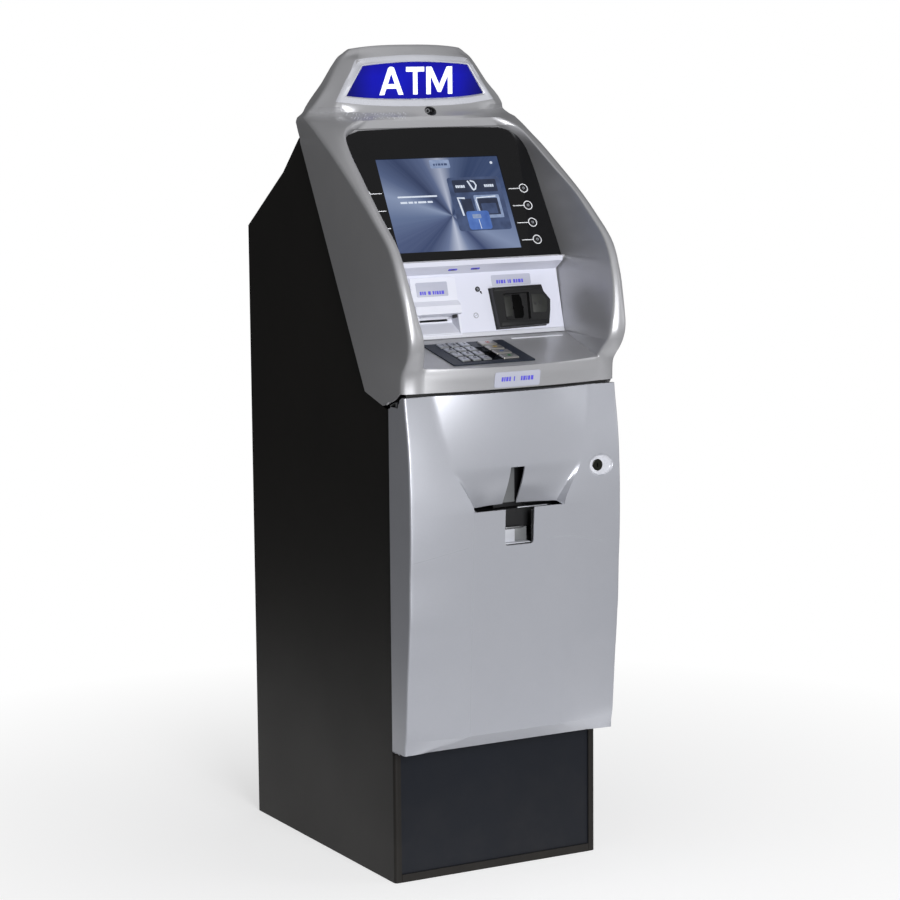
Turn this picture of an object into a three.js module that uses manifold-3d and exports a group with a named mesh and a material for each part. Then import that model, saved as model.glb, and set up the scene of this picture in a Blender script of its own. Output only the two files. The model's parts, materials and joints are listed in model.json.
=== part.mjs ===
// Free-standing indoor cash machine: steel cabinet and safe below, tilting plastic hood with screen, card reader,
// receipt slot and keypad above, and a swinging front door with a money scoop. Millimetres, +Z up, front faces -Y.
import * as THREE from "three";
import { mergeVertices, toCreasedNormals } from "three/addons/utils/BufferGeometryUtils.js";
import Module from "manifold-3d";

const wasm = await Module();
wasm.setup();
const { Manifold, Mesh: MMesh } = wasm;

// ---- driving dimensions -------------------------------------------------------------------------------------
const CAB_W = 400; // cabinet width
const CAB_D = 541.9; // cabinet depth, front flange to rear panel
const FRONT_Y = -90.1; // foremost point of the machine, ahead of the cabinet's front plane
const SHEET = 3; // cabinet sheet thickness
const GAP = 0.4; // running gap between neighbouring pieces
const REAR_H = 1092.5; // height of the vertical rear panel
const DOOR_X = 205; // half width of the front door
const DOOR_TOP = 840; // top edge of the front door
const LEDGE_Z = 643.6; // top edge of the door's flat centre face, at the money slot
const HOOD_WALL = 4;
const DOOR_WALL = 3.2;
const KEY_TRAVEL = 1.5;
const SCREEN_TILT = 28.37; // screen plane, degrees back from vertical
const PANEL_TILT = 15.52; // card-reader panel
const SHELF_TILT = 78.06; // keypad shelf
const Y_CENTRE = (FRONT_Y + CAB_D) / 2; // machine's mid depth: the origin sits under it
const HX = CAB_W / 2;

// ---- solids -------------------------------------------------------------------------------------------------
function fromGeometry(geometry) {
  const g = geometry.clone();
  g.deleteAttribute("normal");
  g.deleteAttribute("uv");
  const merged = mergeVertices(g, 1e-4);
  const tri = merged.index.array;
  const flip = (a) => {
    const b = new Uint32Array(a);
    for (let i = 0; i < b.length; i += 3) [b[i + 1], b[i + 2]] = [b[i + 2], b[i + 1]];
    return b;
  };
  const make = (t) => new Manifold(new MMesh({ numProp: 3, vertProperties: new Float32Array(merged.attributes.position.array), triVerts: t }));
  let m = make(new Uint32Array(tri));
  if (m.volume() < 0) m = make(flip(tri));
  return m;
}
const box = (x0, x1, y0, y1, z0, z1) =>
  fromGeometry(new THREE.BoxGeometry(x1 - x0, y1 - y0, z1 - z0).translate((x0 + x1) / 2, (y0 + y1) / 2, (z0 + z1) / 2));
function prism(axis, pts, a0, a1) {
  const shape = new THREE.Shape(pts.map(([u, v]) => new THREE.Vector2(u, v)));
  const g = new THREE.ExtrudeGeometry(shape, { depth: a1 - a0, bevelEnabled: false, curveSegments: 8 });
  const p = g.attributes.position;
  for (let i = 0; i < p.count; i++) {
    const u = p.getX(i), v = p.getY(i), w = p.getZ(i) + a0;
    if (axis === "x") p.setXYZ(i, w, u, v);
    else if (axis === "y") p.setXYZ(i, u, w, v);
    else p.setXYZ(i, u, v, w);
  }
  return fromGeometry(g);
}
function cyl(axis, u, v, r, a0, a1, seg = 20, r2 = r) {
  const g = new THREE.CylinderGeometry(r2, r, a1 - a0, seg).translate(0, (a0 + a1) / 2, 0);
  if (axis === "x") g.rotateZ(-Math.PI / 2).translate(0, u, v);
  else if (axis === "y") g.translate(u, 0, v);
  else g.rotateX(Math.PI / 2).translate(u, v, 0);
  return fromGeometry(g);
}
const roundRect = (x0, x1, y0, y1, r, n = 2) => {
  const out = [];
  [[x1 - r, y1 - r, 0], [x0 + r, y1 - r, 90], [x0 + r, y0 + r, 180], [x1 - r, y0 + r, 270]].forEach(([cx, cy, a]) => {
    for (let i = 0; i <= n; i++) {
      const t = THREE.MathUtils.degToRad(a + (90 * i) / n);
      out.push([cx + r * Math.cos(t), cy + r * Math.sin(t)]);
    }
  });
  return out;
};
// closed loft through rings of [x, y, z] with equal point counts
function loft(rings) {
  const n = rings[0].length;
  const pos = [];
  const idx = [];
  rings.forEach((r) => r.forEach((p) => pos.push(...p)));
  for (let k = 0; k + 1 < rings.length; k++)
    for (let i = 0; i < n; i++) {
      const a = k * n + i, b = k * n + ((i + 1) % n), c = a + n, d = b + n;
      idx.push(a, b, d, a, d, c);
    }
  const cap = (ring, base, up) => {
    const tris = THREE.ShapeUtils.triangulateShape(ring.map((p) => new THREE.Vector2(p[0], p[1])), []);
    tris.forEach(([a, b, c]) => (up ? idx.push(base + a, base + b, base + c) : idx.push(base + a, base + c, base + b)));
  };
  cap(rings[0], 0, false);
  cap(rings[rings.length - 1], (rings.length - 1) * n, true);
  const g = new THREE.BufferGeometry();
  g.setAttribute("position", new THREE.Float32BufferAttribute(pos, 3));
  g.setIndex(idx);
  return fromGeometry(g);
}
// half outline from the front centre to the rear centre, mirrored about x = 0 into a full ring at height z
const mirrorRing = (half, z) => {
  const right = half.map(([x, y]) => [x, y, z]);
  const left = half.slice(1, -1).reverse().map(([x, y]) => [-x, y, z]);
  return [...right, ...left];
};
// half outline moved inwards (d > 0) or outwards (d < 0); it runs front centre -> side -> rear centre
function insetHalf(half, d) {
  const out = half.map((p) => [...p]);
  for (let i = 0; i < half.length; i++) {
    const p = half[i], a = half[i - 1], b = half[i + 1];
    const nrm = (s, t) => {
      const dx = t[0] - s[0], dy = t[1] - s[1], l = Math.hypot(dx, dy) || 1;
      return [-dy / l, dx / l];
    };
    const n1 = a ? nrm(a, p) : [0, nrm(p, b)[1] > 0 ? 1 : -1];
    const n2 = b ? nrm(p, b) : [0, nrm(a, p)[1] > 0 ? 1 : -1];
    let nx = n1[0] + n2[0], ny = n1[1] + n2[1];
    const l = Math.hypot(nx, ny) || 1;
    nx /= l;
    ny /= l;
    const c = Math.max(0.45, nx * n1[0] + ny * n1[1]);
    out[i][0] = i === 0 || i === half.length - 1 ? 0 : Math.max(0.5, p[0] + (nx * d) / c);
    out[i][1] = p[1] + (ny * d) / c;
  }
  return out;
}
const lerpRow = (table, z) => {
  if (z <= table[0][0]) return table[0].slice(1);
  for (let i = 1; i < table.length; i++)
    if (z <= table[i][0]) {
      const t = (z - table[i - 1][0]) / (table[i][0] - table[i - 1][0]);
      return table[i].slice(1).map((v, k) => table[i - 1][k + 1] * (1 - t) + v * t);
    }
  return table[table.length - 1].slice(1);
};
const frameMatrix = (y, z, deg) =>
  new THREE.Matrix4().makeTranslation(0, y, z).multiply(new THREE.Matrix4().makeRotationX(THREE.MathUtils.degToRad(-deg)));
const placed = (m, matrix) => m.transform(Array.from(matrix.elements));
const cut = (m, ...tools) => tools.reduce((a, b) => a.subtract(b), m);
const join = (m, ...more) => more.reduce((a, b) => a.add(b), m);

function paint(hex, roughness, metalness = 0, extra = {}) {
  return new THREE.MeshStandardMaterial({ color: hex, roughness, metalness, ...extra });
}
function put(parent, name, solid, material, at) {
  const k = solid.getMesh();
  let g = new THREE.BufferGeometry();
  g.setAttribute("position", new THREE.BufferAttribute(new Float32Array(k.vertProperties), 3));
  g.setIndex(new THREE.BufferAttribute(new Uint32Array(k.triVerts), 1));
  g = toCreasedNormals(g, 0.5);
  const mesh = new THREE.Mesh(g, material);
  mesh.name = name;
  if (at) mesh.position.set(...at);
  parent.add(mesh);
  return mesh;
}

// ---- groups -------------------------------------------------------------------------------------------------
const group = new THREE.Group();
group.name = "cash_machine";
const machine = new THREE.Group(); // y = 0 is the cabinet's front plane
machine.position.y = -Y_CENTRE;
group.add(machine);
const inFrame = (y, z, deg) => {
  const f = new THREE.Group();
  f.position.set(0, y, z);
  f.rotation.x = THREE.MathUtils.degToRad(-deg);
  machine.add(f);
  return f;
};
const SCREEN_AT = [100, 1048, SCREEN_TILT];
const PANEL_AT = [80, 917, PANEL_TILT];
const SHELF_AT = [-78, 883.6, SHELF_TILT];
const screenFrame = inFrame(...SCREEN_AT);
const panelFrame = inFrame(...PANEL_AT);
const shelfFrame = inFrame(...SHELF_AT);
const screenM = frameMatrix(...SCREEN_AT), panelM = frameMatrix(...PANEL_AT), shelfM = frameMatrix(...SHELF_AT);

// ---- cabinet ------------------------------------------------------------------------------------------------
const satinDark = paint(0x3a3530, 0.45, 0.15);
const EDGE_TOP = [308, 1250], EDGE_LOW = [75, 838];
const sideProfile = [[0, 0], [CAB_D, 0], [CAB_D, REAR_H], [393, 1194], [327, 1256], [EDGE_TOP[0] + 2.2, EDGE_TOP[1] - 1.2],
  [EDGE_LOW[0] + 2, EDGE_LOW[1] - 3.4], [10, 814], [0, 814]];
function sidePanel(s) {
  const sheet = s < 0 ? prism("x", sideProfile, -HX, -HX + SHEET) : prism("x", sideProfile, HX - SHEET, HX);
  const flange = s < 0 ? box(-HX + 1, -187, 0, SHEET, 0, 813) : box(187, HX - 1, 0, SHEET, 0, 813);
  // softened vertical front corner
  const r = 6;
  const pts = [[HX + 1, -1], [HX - r, -1]];
  for (let i = 0; i <= 4; i++) {
    const t = THREE.MathUtils.degToRad(-90 + (90 * i) / 4);
    pts.push([HX - r + r * Math.cos(t), r + r * Math.sin(t)]);
  }
  pts.push([HX + 1, r]);
  const bite = prism("z", pts.map(([x, y]) => [s * x, y]), -1, 830);
  return sheet.add(flange).subtract(bite);
}
put(machine, "side_panel_left", sidePanel(-1), satinDark);
put(machine, "side_panel_right", sidePanel(1), satinDark);

const IN = HX - SHEET - GAP; // half width between the side panels
let rear = box(-IN, IN, CAB_D - SHEET, CAB_D, 0, REAR_H - 2);
for (let i = 0; i < 6; i++) rear = rear.subtract(box(-70, 70, CAB_D - 5, CAB_D + 1, 900 + i * 22, 908 + i * 22));
rear = rear.subtract(box(90, 150, CAB_D - 5, CAB_D + 1, 120, 170)); // inlet cut-out
put(machine, "rear_panel", rear, satinDark);

const topPanel = prism("x", [[CAB_D, REAR_H - 1.6], [CAB_D, REAR_H], [393, 1194], [327, 1256], [324.2, 1253.2], [390.6, 1190.4], [CAB_D - 4, REAR_H - 1.6]], -IN, IN);
put(machine, "top_panel", topPanel, satinDark);

const baseFrame = join(box(-186.6, 186.6, 0, SHEET, 0, 14), box(-186.6, 186.6, 0, 5, 0, 3), box(-IN, IN, SHEET + GAP, CAB_D - SHEET - GAP, 0, 3));
put(machine, "base_frame", baseFrame, satinDark);
const kick = join(box(-IN, IN, SHEET + GAP, SHEET + GAP + 2.5, 3 + GAP, 225.6));
put(machine, "kick_panel", kick, paint(0x282c34, 0.38, 0.1));

const PED_TOP = 226;
const pedestal = cut(join(box(-170, 170, 40, 500, PED_TOP - 5, PED_TOP), box(-170, -165, 40, 500, 3 + GAP, PED_TOP - 4), box(165, 170, 40, 500, 3 + GAP, PED_TOP - 4), box(-170, 170, 495, 500, 3 + GAP, PED_TOP - 4)));
put(machine, "pedestal", pedestal, paint(0x33353a, 0.55, 0.3));

// ---- safe ---------------------------------------------------------------------------------------------------
const S0 = PED_TOP + GAP, S1 = 792;
const BOLT_Z = [320, 510, 700];
const safe = join(
  cut(box(-188, 188, 14, 506, S0, S1), box(-180, 180, 5, 498, S0 + 8, S1 - 8), ...BOLT_Z.map((z) => cyl("x", 21.5, z, 7.6, 179, 190, 20))),
  box(-187, -179, -2.2, 15, S0, S0 + 2.2),
  box(-187, -179, -2.2, 15, S1 - 2.2, S1),
);
put(machine, "safe_body", safe, paint(0x4a4d52, 0.55, 0.4));
// The door plate closes against the safe's front edge; slot for the presenter, holes for the dial and handle shafts.
const SAFE_HINGE = [-183, 1];
const safeDoor = cut(
  box(-184, 184, 4.5, 13.5, S0 + 3, S1 - 3).add(cyl("z", ...SAFE_HINGE, 3, S0 + 3, S1 - 3, 20)).add(box(-184, -180.5, 1, 5, S0 + 3, S1 - 3)),
  box(-90, 90, 0, 20, 592, 614),
  cyl("y", 120, 470, 6.3, 0, 20, 24),
  cyl("y", 120, 400, 8.3, 0, 20, 24),
);
put(machine, "safe_door", safeDoor, paint(0x54575c, 0.5, 0.4));
const handle = join(
  cyl("y", 120, 400, 8, -4, 24, 24),
  cyl("y", 120, 400, 15, -7, 0.5, 28),
  prism("y", [[113, 400], [127, 400], [124, 330], [116, 330]], -14, -6.5),
);
put(machine, "safe_handle", handle, paint(0xb8bbc0, 0.3, 0.9));
const dial = join(cyl("y", 120, 470, 6, -3, 24, 24), cyl("y", 120, 470, 24, -2, 3.8, 36), cyl("y", 120, 470, 13, -15, -1.9, 12));
put(machine, "safe_dial", dial, paint(0x1b1c1e, 0.4, 0.2));
// Bolt bar behind the door with three bolts, drawn back clear of the safe's side wall.
const bolts = join(
  box(140, 152, 16, 27, 300, 720),
  ...BOLT_Z.map((z) => cyl("x", 21.5, z, 7, 145, 172, 20)),
);
put(machine, "safe_bolts", bolts, paint(0xa9adb3, 0.3, 0.9));

// ---- dispenser and cassette ---------------------------------------------------------------------------------
const dispenser = cut(
  join(box(-108, 108, 60, 430, 245, 690), box(-86, 86, 32, 61, 588, 620)),
  box(-88, 88, 50, 415, 256, 388),
  box(-80, 80, 20, 66, 598, 610),
  box(-60, 60, 100, 380, 560, 700),
);
put(machine, "dispenser", dispenser, paint(0x6a6d72, 0.5, 0.5));
const cassette = cut(
  join(box(-84, 84, 62, 410, 260, 384), box(-50, 50, 50, 63, 300, 345)),
  box(-40, 40, 49, 60, 308, 337),
);
put(machine, "cash_cassette", cassette, paint(0x23262b, 0.5));

put(machine, "computer", cut(box(-150, 130, 250, 520, S1 + GAP, 905), box(-130, -20, 245, 252, 820, 880), box(30, 100, 245, 252, 830, 860)), paint(0x8c9096, 0.45, 0.6));
put(machine, "power_inlet", cut(join(box(92, 148, CAB_D - 26, CAB_D - 0.5, 122, 168), box(88, 152, CAB_D - SHEET - 2.5, CAB_D - SHEET - GAP, 118, 172)), box(104, 136, CAB_D - 16, CAB_D + 1, 134, 156)), paint(0x141516, 0.5));

// ---- door ---------------------------------------------------------------------------------------------------
// height, funnel edge x, edge y, centre y, y where the scoop meets its edge wall, side edge y
const SIDE_Y = [[234, -50], [245, -49], [264, -53], [300, -56], [336, -59], [372, -62], [408, -66], [444, -69], [468, -72], [533, -72], [574, -77], [650, -77], [707, -75], [759, -72], [776, -69], [793, -66], [810, -62], [840, -60]];
const sideY = (z) => lerpRow(SIDE_Y, z)[0];
const facetY = (z) => -85.3 + ((643.6 - z) * 20.3) / 386.3;
const SCOOP = [
  [647, 88, -85.4, -48, -67], [656, 92, -84.9, -56, -70], [668, 98, -84, -65, -74], [684, 111, -82.5, -73.5, -78.5], [713, 126, -79.5, -79, -79.4],
  [759, 141, -74, -78, -74], [800, 151, -66.5, -76.5, -66.5], [840.5, 158, -57, -75, -57],
];
function doorHalf(z) {
  let front;
  if (z > 645) {
    const [xe, ye, ys, yw] = lerpRow(SCOOP, z);
    const f = (x) => ys + (yw - ys) * (x / (0.95 * xe)) ** 2;
    front = [[0, ys], [0.35 * xe, f(0.35 * xe)], [0.68 * xe, f(0.68 * xe)], [0.95 * xe, yw], [xe, ye]];
  } else {
    let yc = facetY(Math.max(z, 257.3));
    if (z < 257.3) yc += (257.3 - z) * 0.68;
    front = [[0, yc], [30, yc], [60, yc], [82, yc], [88.5, yc]];
  }
  const [xe, ye] = front[4];
  let ys = sideY(z);
  if (z < 257.3) ys = Math.max(ys, -53 + (257.3 - z) * 0.15);
  const bow = (t) => [xe + (DOOR_X - 3 - xe) * t, ye + (ys - ye) * t - 2.2 * Math.sin(Math.PI * t)];
  return [...front, bow(0.4), bow(0.75), [DOOR_X - 3, ys], [DOOR_X, ys + 4], [DOOR_X, -4], [0, -4]];
}
const DOOR_Z = [234, 243, 257.3, 336, 444, 533, 574, LEDGE_Z, 647, 656, 668, 684, 713, 759, 800, 840.5];
const doorOuter = loft(DOOR_Z.map((z) => mirrorRing(doorHalf(z), z)));
const innerRows = [[230, 243], [262, 262], [336, 336], [444, 444], [533, 533], [574, 574], [LEDGE_Z - 5, LEDGE_Z], [LEDGE_Z - 3.6, 647], [652, 656], [665, 668], [682, 684], [713, 713], [759, 759], [800, 800], [845, 840.5]];
const doorInner = loft(innerRows.map(([z, src]) => {
  const h = insetHalf(doorHalf(src), DOOR_WALL);
  h[h.length - 2] = [DOOR_X - DOOR_WALL, 5];
  h[h.length - 1] = [0, 5];
  return mirrorRing(h, z);
}));
const doorCap = prism("x", [[-120, 200], [10, 200], [10, 811], [-4, 817], [-36, 831], [-51, DOOR_TOP], [-120, DOOR_TOP]], -220, 220);
const doorCapIn = prism("x", [[-120, 237.4], [10, 237.4], [10, 807.4], [-4, 813.6], [-36.6, 827.8], [-51.8, DOOR_TOP - 3.2], [-120, DOOR_TOP - 3.2]], -219, 219);
let door = doorOuter.intersect(doorCap).subtract(doorInner.intersect(doorCapIn));
const LOCK = [158, 703];
const HINGE = [-195, -15.5]; // door pins, x and y
const oval = (rx, rz, n = 28) => Array.from({ length: n }, (_, i) => {
  const t = (i / n) * 2 * Math.PI;
  return [164 + rx * Math.cos(t), LOCK[1] + rz * Math.sin(t)];
});
const slotPlan = [[-83.5, -81], [83.5, -81], [82, -68.5], [55, -58.5], [28, -52], [0, -50], [-28, -52], [-55, -58.5], [-82, -68.5]];
door = cut(
  door,
  prism("z", slotPlan, 636, 647.6),
  box(-13.5, 13.5, -95, -20, 640, 713),
  prism("y", roundRect(-28, 28, 581, 660, 5), -95, -76),
  cyl("y", LOCK[0], LOCK[1], 9.3, -100, -40, 24),
  cyl("z", ...HINGE, 2.8, 230, 240, 16),
  cyl("z", ...HINGE, 2.8, 800, 830, 16),
);
// shallow oval dish round the lock
door = door.subtract(prism("y", oval(24, 17), -100, -78.6));
put(machine, "door_shell", door, paint(0xc9cacf, 0.34, 0.35));
const tray = cut(
  box(-86.5, 86.5, -77.8, -12, 574, 637.4),
  box(-82, 82, -74.5, -50, 578, 640),
  box(-82, 82, -51, -5, 592, 606),
  box(-27, 27, -90, -74, 581.5, 640),
);
put(machine, "cash_tray", tray.intersect(prism("x", [[-79.5, 570], [-12, 570], [-12, 640], [-80, 640]], -90, 90)), paint(0x141416, 0.5));
const lockBody = join(cyl("y", LOCK[0], LOCK[1], 9, -77.5, -22, 28), prism("y", [[LOCK[0] - 8, LOCK[1] - 8], [LOCK[0] + 8, LOCK[1] - 8], [LOCK[0] + 8, LOCK[1] + 30], [LOCK[0] - 8, LOCK[1] + 30]], -24, -20));
put(machine, "door_lock", lockBody.subtract(box(LOCK[0] - 1, LOCK[0] + 1, -80, -72, LOCK[1] - 4, LOCK[1] + 4)), paint(0x9a9ca0, 0.3, 0.9));
// Pivot brackets below and above the door's left edge; the door turns on their pins.
put(machine, "door_hinge_lower", join(box(-198, -188, -20, -0.4, 229.6, 233.4), cyl("z", ...HINGE, 2.4, 233, 244, 16), box(-196.4, -188, -1, 3.2 + GAP, 229.6, 233.4).intersect(box(-196.4, -188, -1, -0.4, 229.6, 233.4))), paint(0x8d9096, 0.35, 0.9));
put(machine, "door_hinge_upper", join(
  prism("x", [[-20, 826.8], [-4, 823.6], [3.4, 820], [3.4, 786], [6, 786], [6, 821.5], [-3, 825.2], [-20, 829.8]], -196.4, -188),
  prism("x", [[-20, 826.8], [-9, 824.6], [-9, 827.2], [-20, 829.8]], -198.5, -188),
  cyl("z", ...HINGE, 2.4, 812, 828, 16)), paint(0x8d9096, 0.35, 0.9));

// ---- hood ---------------------------------------------------------------------------------------------------
// height, inner crease x, y, outer crease x, y of the wing
const WING = [
  [815, 168, -60, 206, -52], [850, 168, -60, 206, -53], [870, 168, -61, 206, -54], [880, 168, -61, 205, -58], [890, 168, -62, 205, -66],
  [900, 171, -70, 206, -75], [910, 174, -77, 207, -82], [920, 177, -84, 208, -86], [940, 180, -86, 210, -90.1], [960, 185, -84, 211, -85],
  [980, 189, -80, 212, -80], [1000, 192, -75, 213, -74], [1020, 195, -69, 215, -68], [1040, 196, -61, 215, -59], [1060, 198, -53, 216, -51],
  [1080, 198, -41, 216, -39], [1100, 199, -21, 216, -16], [1120, 198, 7, 216, 10], [1160, 197, 54, 215, 64], [1200, 189, 112, 213, 124],
  [1240, 182, 168, 211, 189], [1260, 177, 193, 209, 226], [1280, 160, 214, 208, 263], [1288, 140, 220, 207, 281],
];
const LIP_C = [[815, -74], [850, -75], [870, -79], [884, -78], [890, -60], [1300, -60]];
const backX = 208;
function hoodHalf(z) {
  if (z <= 1288) {
    const [xi, yi, xo, yo] = lerpRow(WING, z);
    let yc = lerpRow(LIP_C, z)[0];
    if (z > 886) yc = Math.min(yi, 200);
    const f = (x) => yi + (yc - yi) * (1 - (x / xi) ** 2);
    const back = 330;
    const mid = [xo * 0.5 + xi * 0.5, (yi + yo) / 2 - 1.6];
    return [[0, yc], [xi * 0.4, f(xi * 0.4)], [xi * 0.75, f(xi * 0.75)], [xi, yi], mid, [xo, yo], [xo - 1, yo + 40 < back ? yo + 40 : (yo + back) / 2], [z < 1250 ? backX : 207, back], [0, back]];
  }
  const t = TOPPER.find((r) => r[0] === z);
  return [...t[1], [0, t[2]]].map((p) => [...p]);
}
// sign surround above the forehead: [height, front half outline, rear y]
const TOPPER = [
  [1290, [[0, 220.5], [56, 221], [105, 224], [140, 236], [170, 262], [194, 283], [205, 292], [205.5, 330]], 330],
  [1300, [[0, 228], [56, 236], [105, 247], [138, 259], [160, 271], [180, 286], [196, 300], [197, 330]], 330],
  [1309, [[0, 235], [56, 242], [105, 252], [140, 260], [161, 265], [176, 279], [190, 293], [192, 330]], 330],
  [1322, [[0, 241.5], [54, 247], [102, 257], [136, 264], [152, 267.5], [164, 278], [181, 290], [183, 330]], 330],
  [1350, [[0, 253.5], [47, 258], [90, 265], [118, 269], [134, 271], [143, 281], [158, 295], [161, 330]], 330],
  [1389, [[0, 269.5], [38, 271], [72, 274], [94, 275.5], [108, 276.5], [120, 288], [132, 301], [135, 330]], 330],
  [1399, [[0, 275], [38, 276.5], [70, 281], [90, 284], [103, 287], [115, 296], [126, 304], [129, 330]], 330],
  [1407, [[0, 280], [36, 282], [66, 286], [85, 290], [97, 293], [110, 299], [119, 305], [121, 330]], 330],
  [1415, [[0, 288], [34, 290], [62, 293], [80, 296], [92, 299], [100, 302], [108, 306], [109, 330]], 330],
];
const HOOD_Z = [815, 850, 870, 880, 890, 900, 920, 940, 960, 1000, 1040, 1080, 1100, 1120, 1160, 1200, 1240, 1260, 1280, 1288, ...TOPPER.map((r) => r[0])];
const hoodBack = [[-200, 846], [-50.5, 846], [10, 821], [EDGE_LOW[0] - 0.6, EDGE_LOW[1] + 0.6], [EDGE_TOP[0] - 0.4, EDGE_TOP[1] + 0.6], [316.5, 1266], [325, 1283], [317, 1300], [311, 1416], [-200, 1416]];
const hoodSide = prism("x", hoodBack, -230, 230);
const hoodOuter = loft(HOOD_Z.map((z) => mirrorRing(hoodHalf(z), z))).intersect(hoodSide);
const innerOf = (z) => {
  const h = insetHalf(hoodHalf(z), HOOD_WALL);
  return h;
};
let hoodInner = loft(HOOD_Z.map((z) => {
  const dz = z > 1288 ? -HOOD_WALL * 0.9 : 0;
  const h = innerOf(z);
  return mirrorRing(h, z === 1288 ? z - 2 : z === 815 ? 800 : z + dz - (z === 1290 ? 0.2 : 0));
})).intersect(prism("x", [[-200, 800], [400, 800], [400, 1250], [312, 1262], [313, 1283], [310, 1298], [306, 1411], [-200, 1411]], -230, 230));

// recess: height, front half width, front y, back half width, back y
const sl = (z) => -78 + ((z - 883.6) * 158) / 33.4;
const pl = (z) => 80 + ((z - 917) * 30) / 108;
const sc = (z) => 100 + (z - 1048) * 0.54;
const RECESS = [
  [883.6, 168, -78, 165, sl(883.6)], [890, 168, -62, 170, sl(890)], [900, 171, -70, 177, sl(900)], [917, 176, -82, 190, sl(917)], [917.4, 176, -82, 190.4, pl(917) + 4.8],
  [940, 180, -86, 190.5, pl(940) + 4.8], [960, 185, -84, 191, pl(960) + 4.8], [1000, 192, -75, 192, pl(1000) + 4.8], [1026, 195, -66, 193, pl(1026) + 5.2], [1043.6, 196, -60, 195, 92],
  [1049.6, 197, -57, 196, 92.2], [1050, 197, -57, 196.4, sc(1050) + 6.8], [1080, 198, -41, 195, sc(1080) + 6.8], [1100, 199, -21, 194, sc(1100) + 6.8], [1120, 198, 7, 193, sc(1120) + 6.8], [1160, 197, 54, 190.5, sc(1160) + 6.8],
  [1200, 189, 112, 188, sc(1200) + 6.8], [1240, 182, 168, 183.6, sc(1240) + 6.8], [1256, 178, 188, 172, sc(1256) + 6.6], [1270, 166, 204, 146, sc(1270) + 5], [1272.6, 163, 206, 140, 221.4], [1280, 152, 214, 128, 221.2], [1288, 128, 220, 118, 220.4],
];
const recessHalf = ([, xf, yf, xb, yb]) => [[0, -400], [xf, -400], [xf, yf], [xb, yb], [0, yb]];
const recess = loft(RECESS.map((r) => mirrorRing(recessHalf(r), r[0])));
const grow = (dz) => loft(RECESS.map((r) => {
  const [z, xf, yf, xb, yb] = r;
  return mirrorRing([[0, -400], [xf + 4, -400], [xf + 4, yf + 2], [xb + 4, yb + 4], [0, yb + 4]], z + dz);
}));
const recessWall = grow(-4).add(grow(4)).add(grow(0));
hoodInner = hoodInner.subtract(recessWall);
let hood = hoodOuter.subtract(recess).subtract(hoodInner);
// sign opening, screen window, panel window, keypad opening, lens hole, hood-lock hole
const lensOutline = [[-136.7, 1327.6], [-100, 1323.4], [-50, 1321.2], [0, 1320.6], [50, 1321.2], [100, 1323.4], [136.7, 1327.6], [104.5, 1378.5], [60, 1382.6], [0, 1385], [-60, 1382.6], [-104.5, 1378.5]];
hood = cut(
  hood,
  prism("y", lensOutline, 200, 276),
  placed(box(-172, 172, -30, 40, 12, 232), screenM),
  placed(box(-118, 180, -20, 60, 8, 100), panelM),
  placed(box(-106.5, 43, -15, 40, 22.6, 128), shelfM),
  prism("y", roundRect(-2, 18, 1294, 1306, 5), 200, 262),
);
const lensScaled = (k, j) => lensOutline.map(([x, z]) => [x * k, 1352 + (z - 1352) * j]);
const lensFrame = prism("y", lensScaled(1.035, 1.13), 225, 280).intersect(hoodOuter).subtract(prism("y", lensOutline, 200, 300));
hood = hood.add(lensFrame);
hood = cut(hood, cyl("x", 132, 1000, 8.4, 200, 220, 24));
const HOOD_PIVOT = [316, 1246];
for (const k of [-1, 1]) {
  const ear = prism("x", [[296, 1256], [309, 1240], [318, 1239], [322.5, 1243], [322.5, 1249], [318.5, 1253], [310, 1260], [304, 1264]], Math.min(k * 62, k * 78), Math.max(k * 62, k * 78));
  hood = hood.add(ear).subtract(cyl("x", ...HOOD_PIVOT, 4.5, -115, 115, 20));
}
const hoodPieces = hood.decompose();
hoodPieces.sort((a, b) => b.volume() - a.volume());
hood = hoodPieces[0];
const silver = paint(0xb9bac0, 0.36, 0.4);
put(machine, "hood_shell", hood, silver);

// sign: blue lens set back in its surround
put(machine, "sign_lens", prism("y", lensOutline.map(([x, z]) => [x * 0.992, 1352 + (z - 1352) * 0.985]), 268, 272.4), paint(0x0a0abe, 0.25, 0, { emissive: 0x05058c }));
put(machine, "camera_window", prism("y", roundRect(-1.4, 17.4, 1294.6, 1305.4, 4.6), 240, 246), paint(0x0b0b0c, 0.15));

// screen stack, in the screen's own frame: x across, -y towards the user, z up the slope
const bezelPts = [[0, 0.4], [195.6, 0.4], [194.4, 36], [193.2, 60], [192, 84], [190, 130], [188, 172], [185.6, 205], [182.8, 218], [175, 232], [160, 244], [138, 251.4], [0, 254.2]];
const bezelOutline = [...bezelPts, ...bezelPts.slice(1, -1).reverse().map(([x, z]) => [-x, z])];
const KEY_Z = [32.6, 65.5, 98.4, 131.4];
let bezel = prism("y", bezelOutline, 0, 4.8);
const recessFit = loft(RECESS.map((r) => mirrorRing([[0, -400], [r[1] - 0.5, -400], [r[1] - 0.5, r[2]], [r[3] - 0.5, r[4] - 0.4], [0, r[4] - 0.4]], r[0])));
bezel = placed(placed(bezel, screenM).intersect(recessFit).intersect(box(-300, 300, 0, 400, 1050.4, 1272.2)), screenM.clone().invert());
bezel = bezel.subtract(box(-120.6, 120.6, -2, 8, 18.9, 196.2));
KEY_Z.forEach((z) => [-1, 1].forEach((s) => (bezel = bezel.subtract(cyl("y", s * 155.5, z, 6.9, -2, 9, 20)))));
put(screenFrame, "display_bezel", bezel, paint(0x0c0c0d, 0.12));
put(screenFrame, "screen_glass", box(-120.1, 120.1, 1.2, 4.2, 19.4, 195.7), paint(0x6f88b0, 0.1, 0, { emissive: 0x24364f }));
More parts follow.
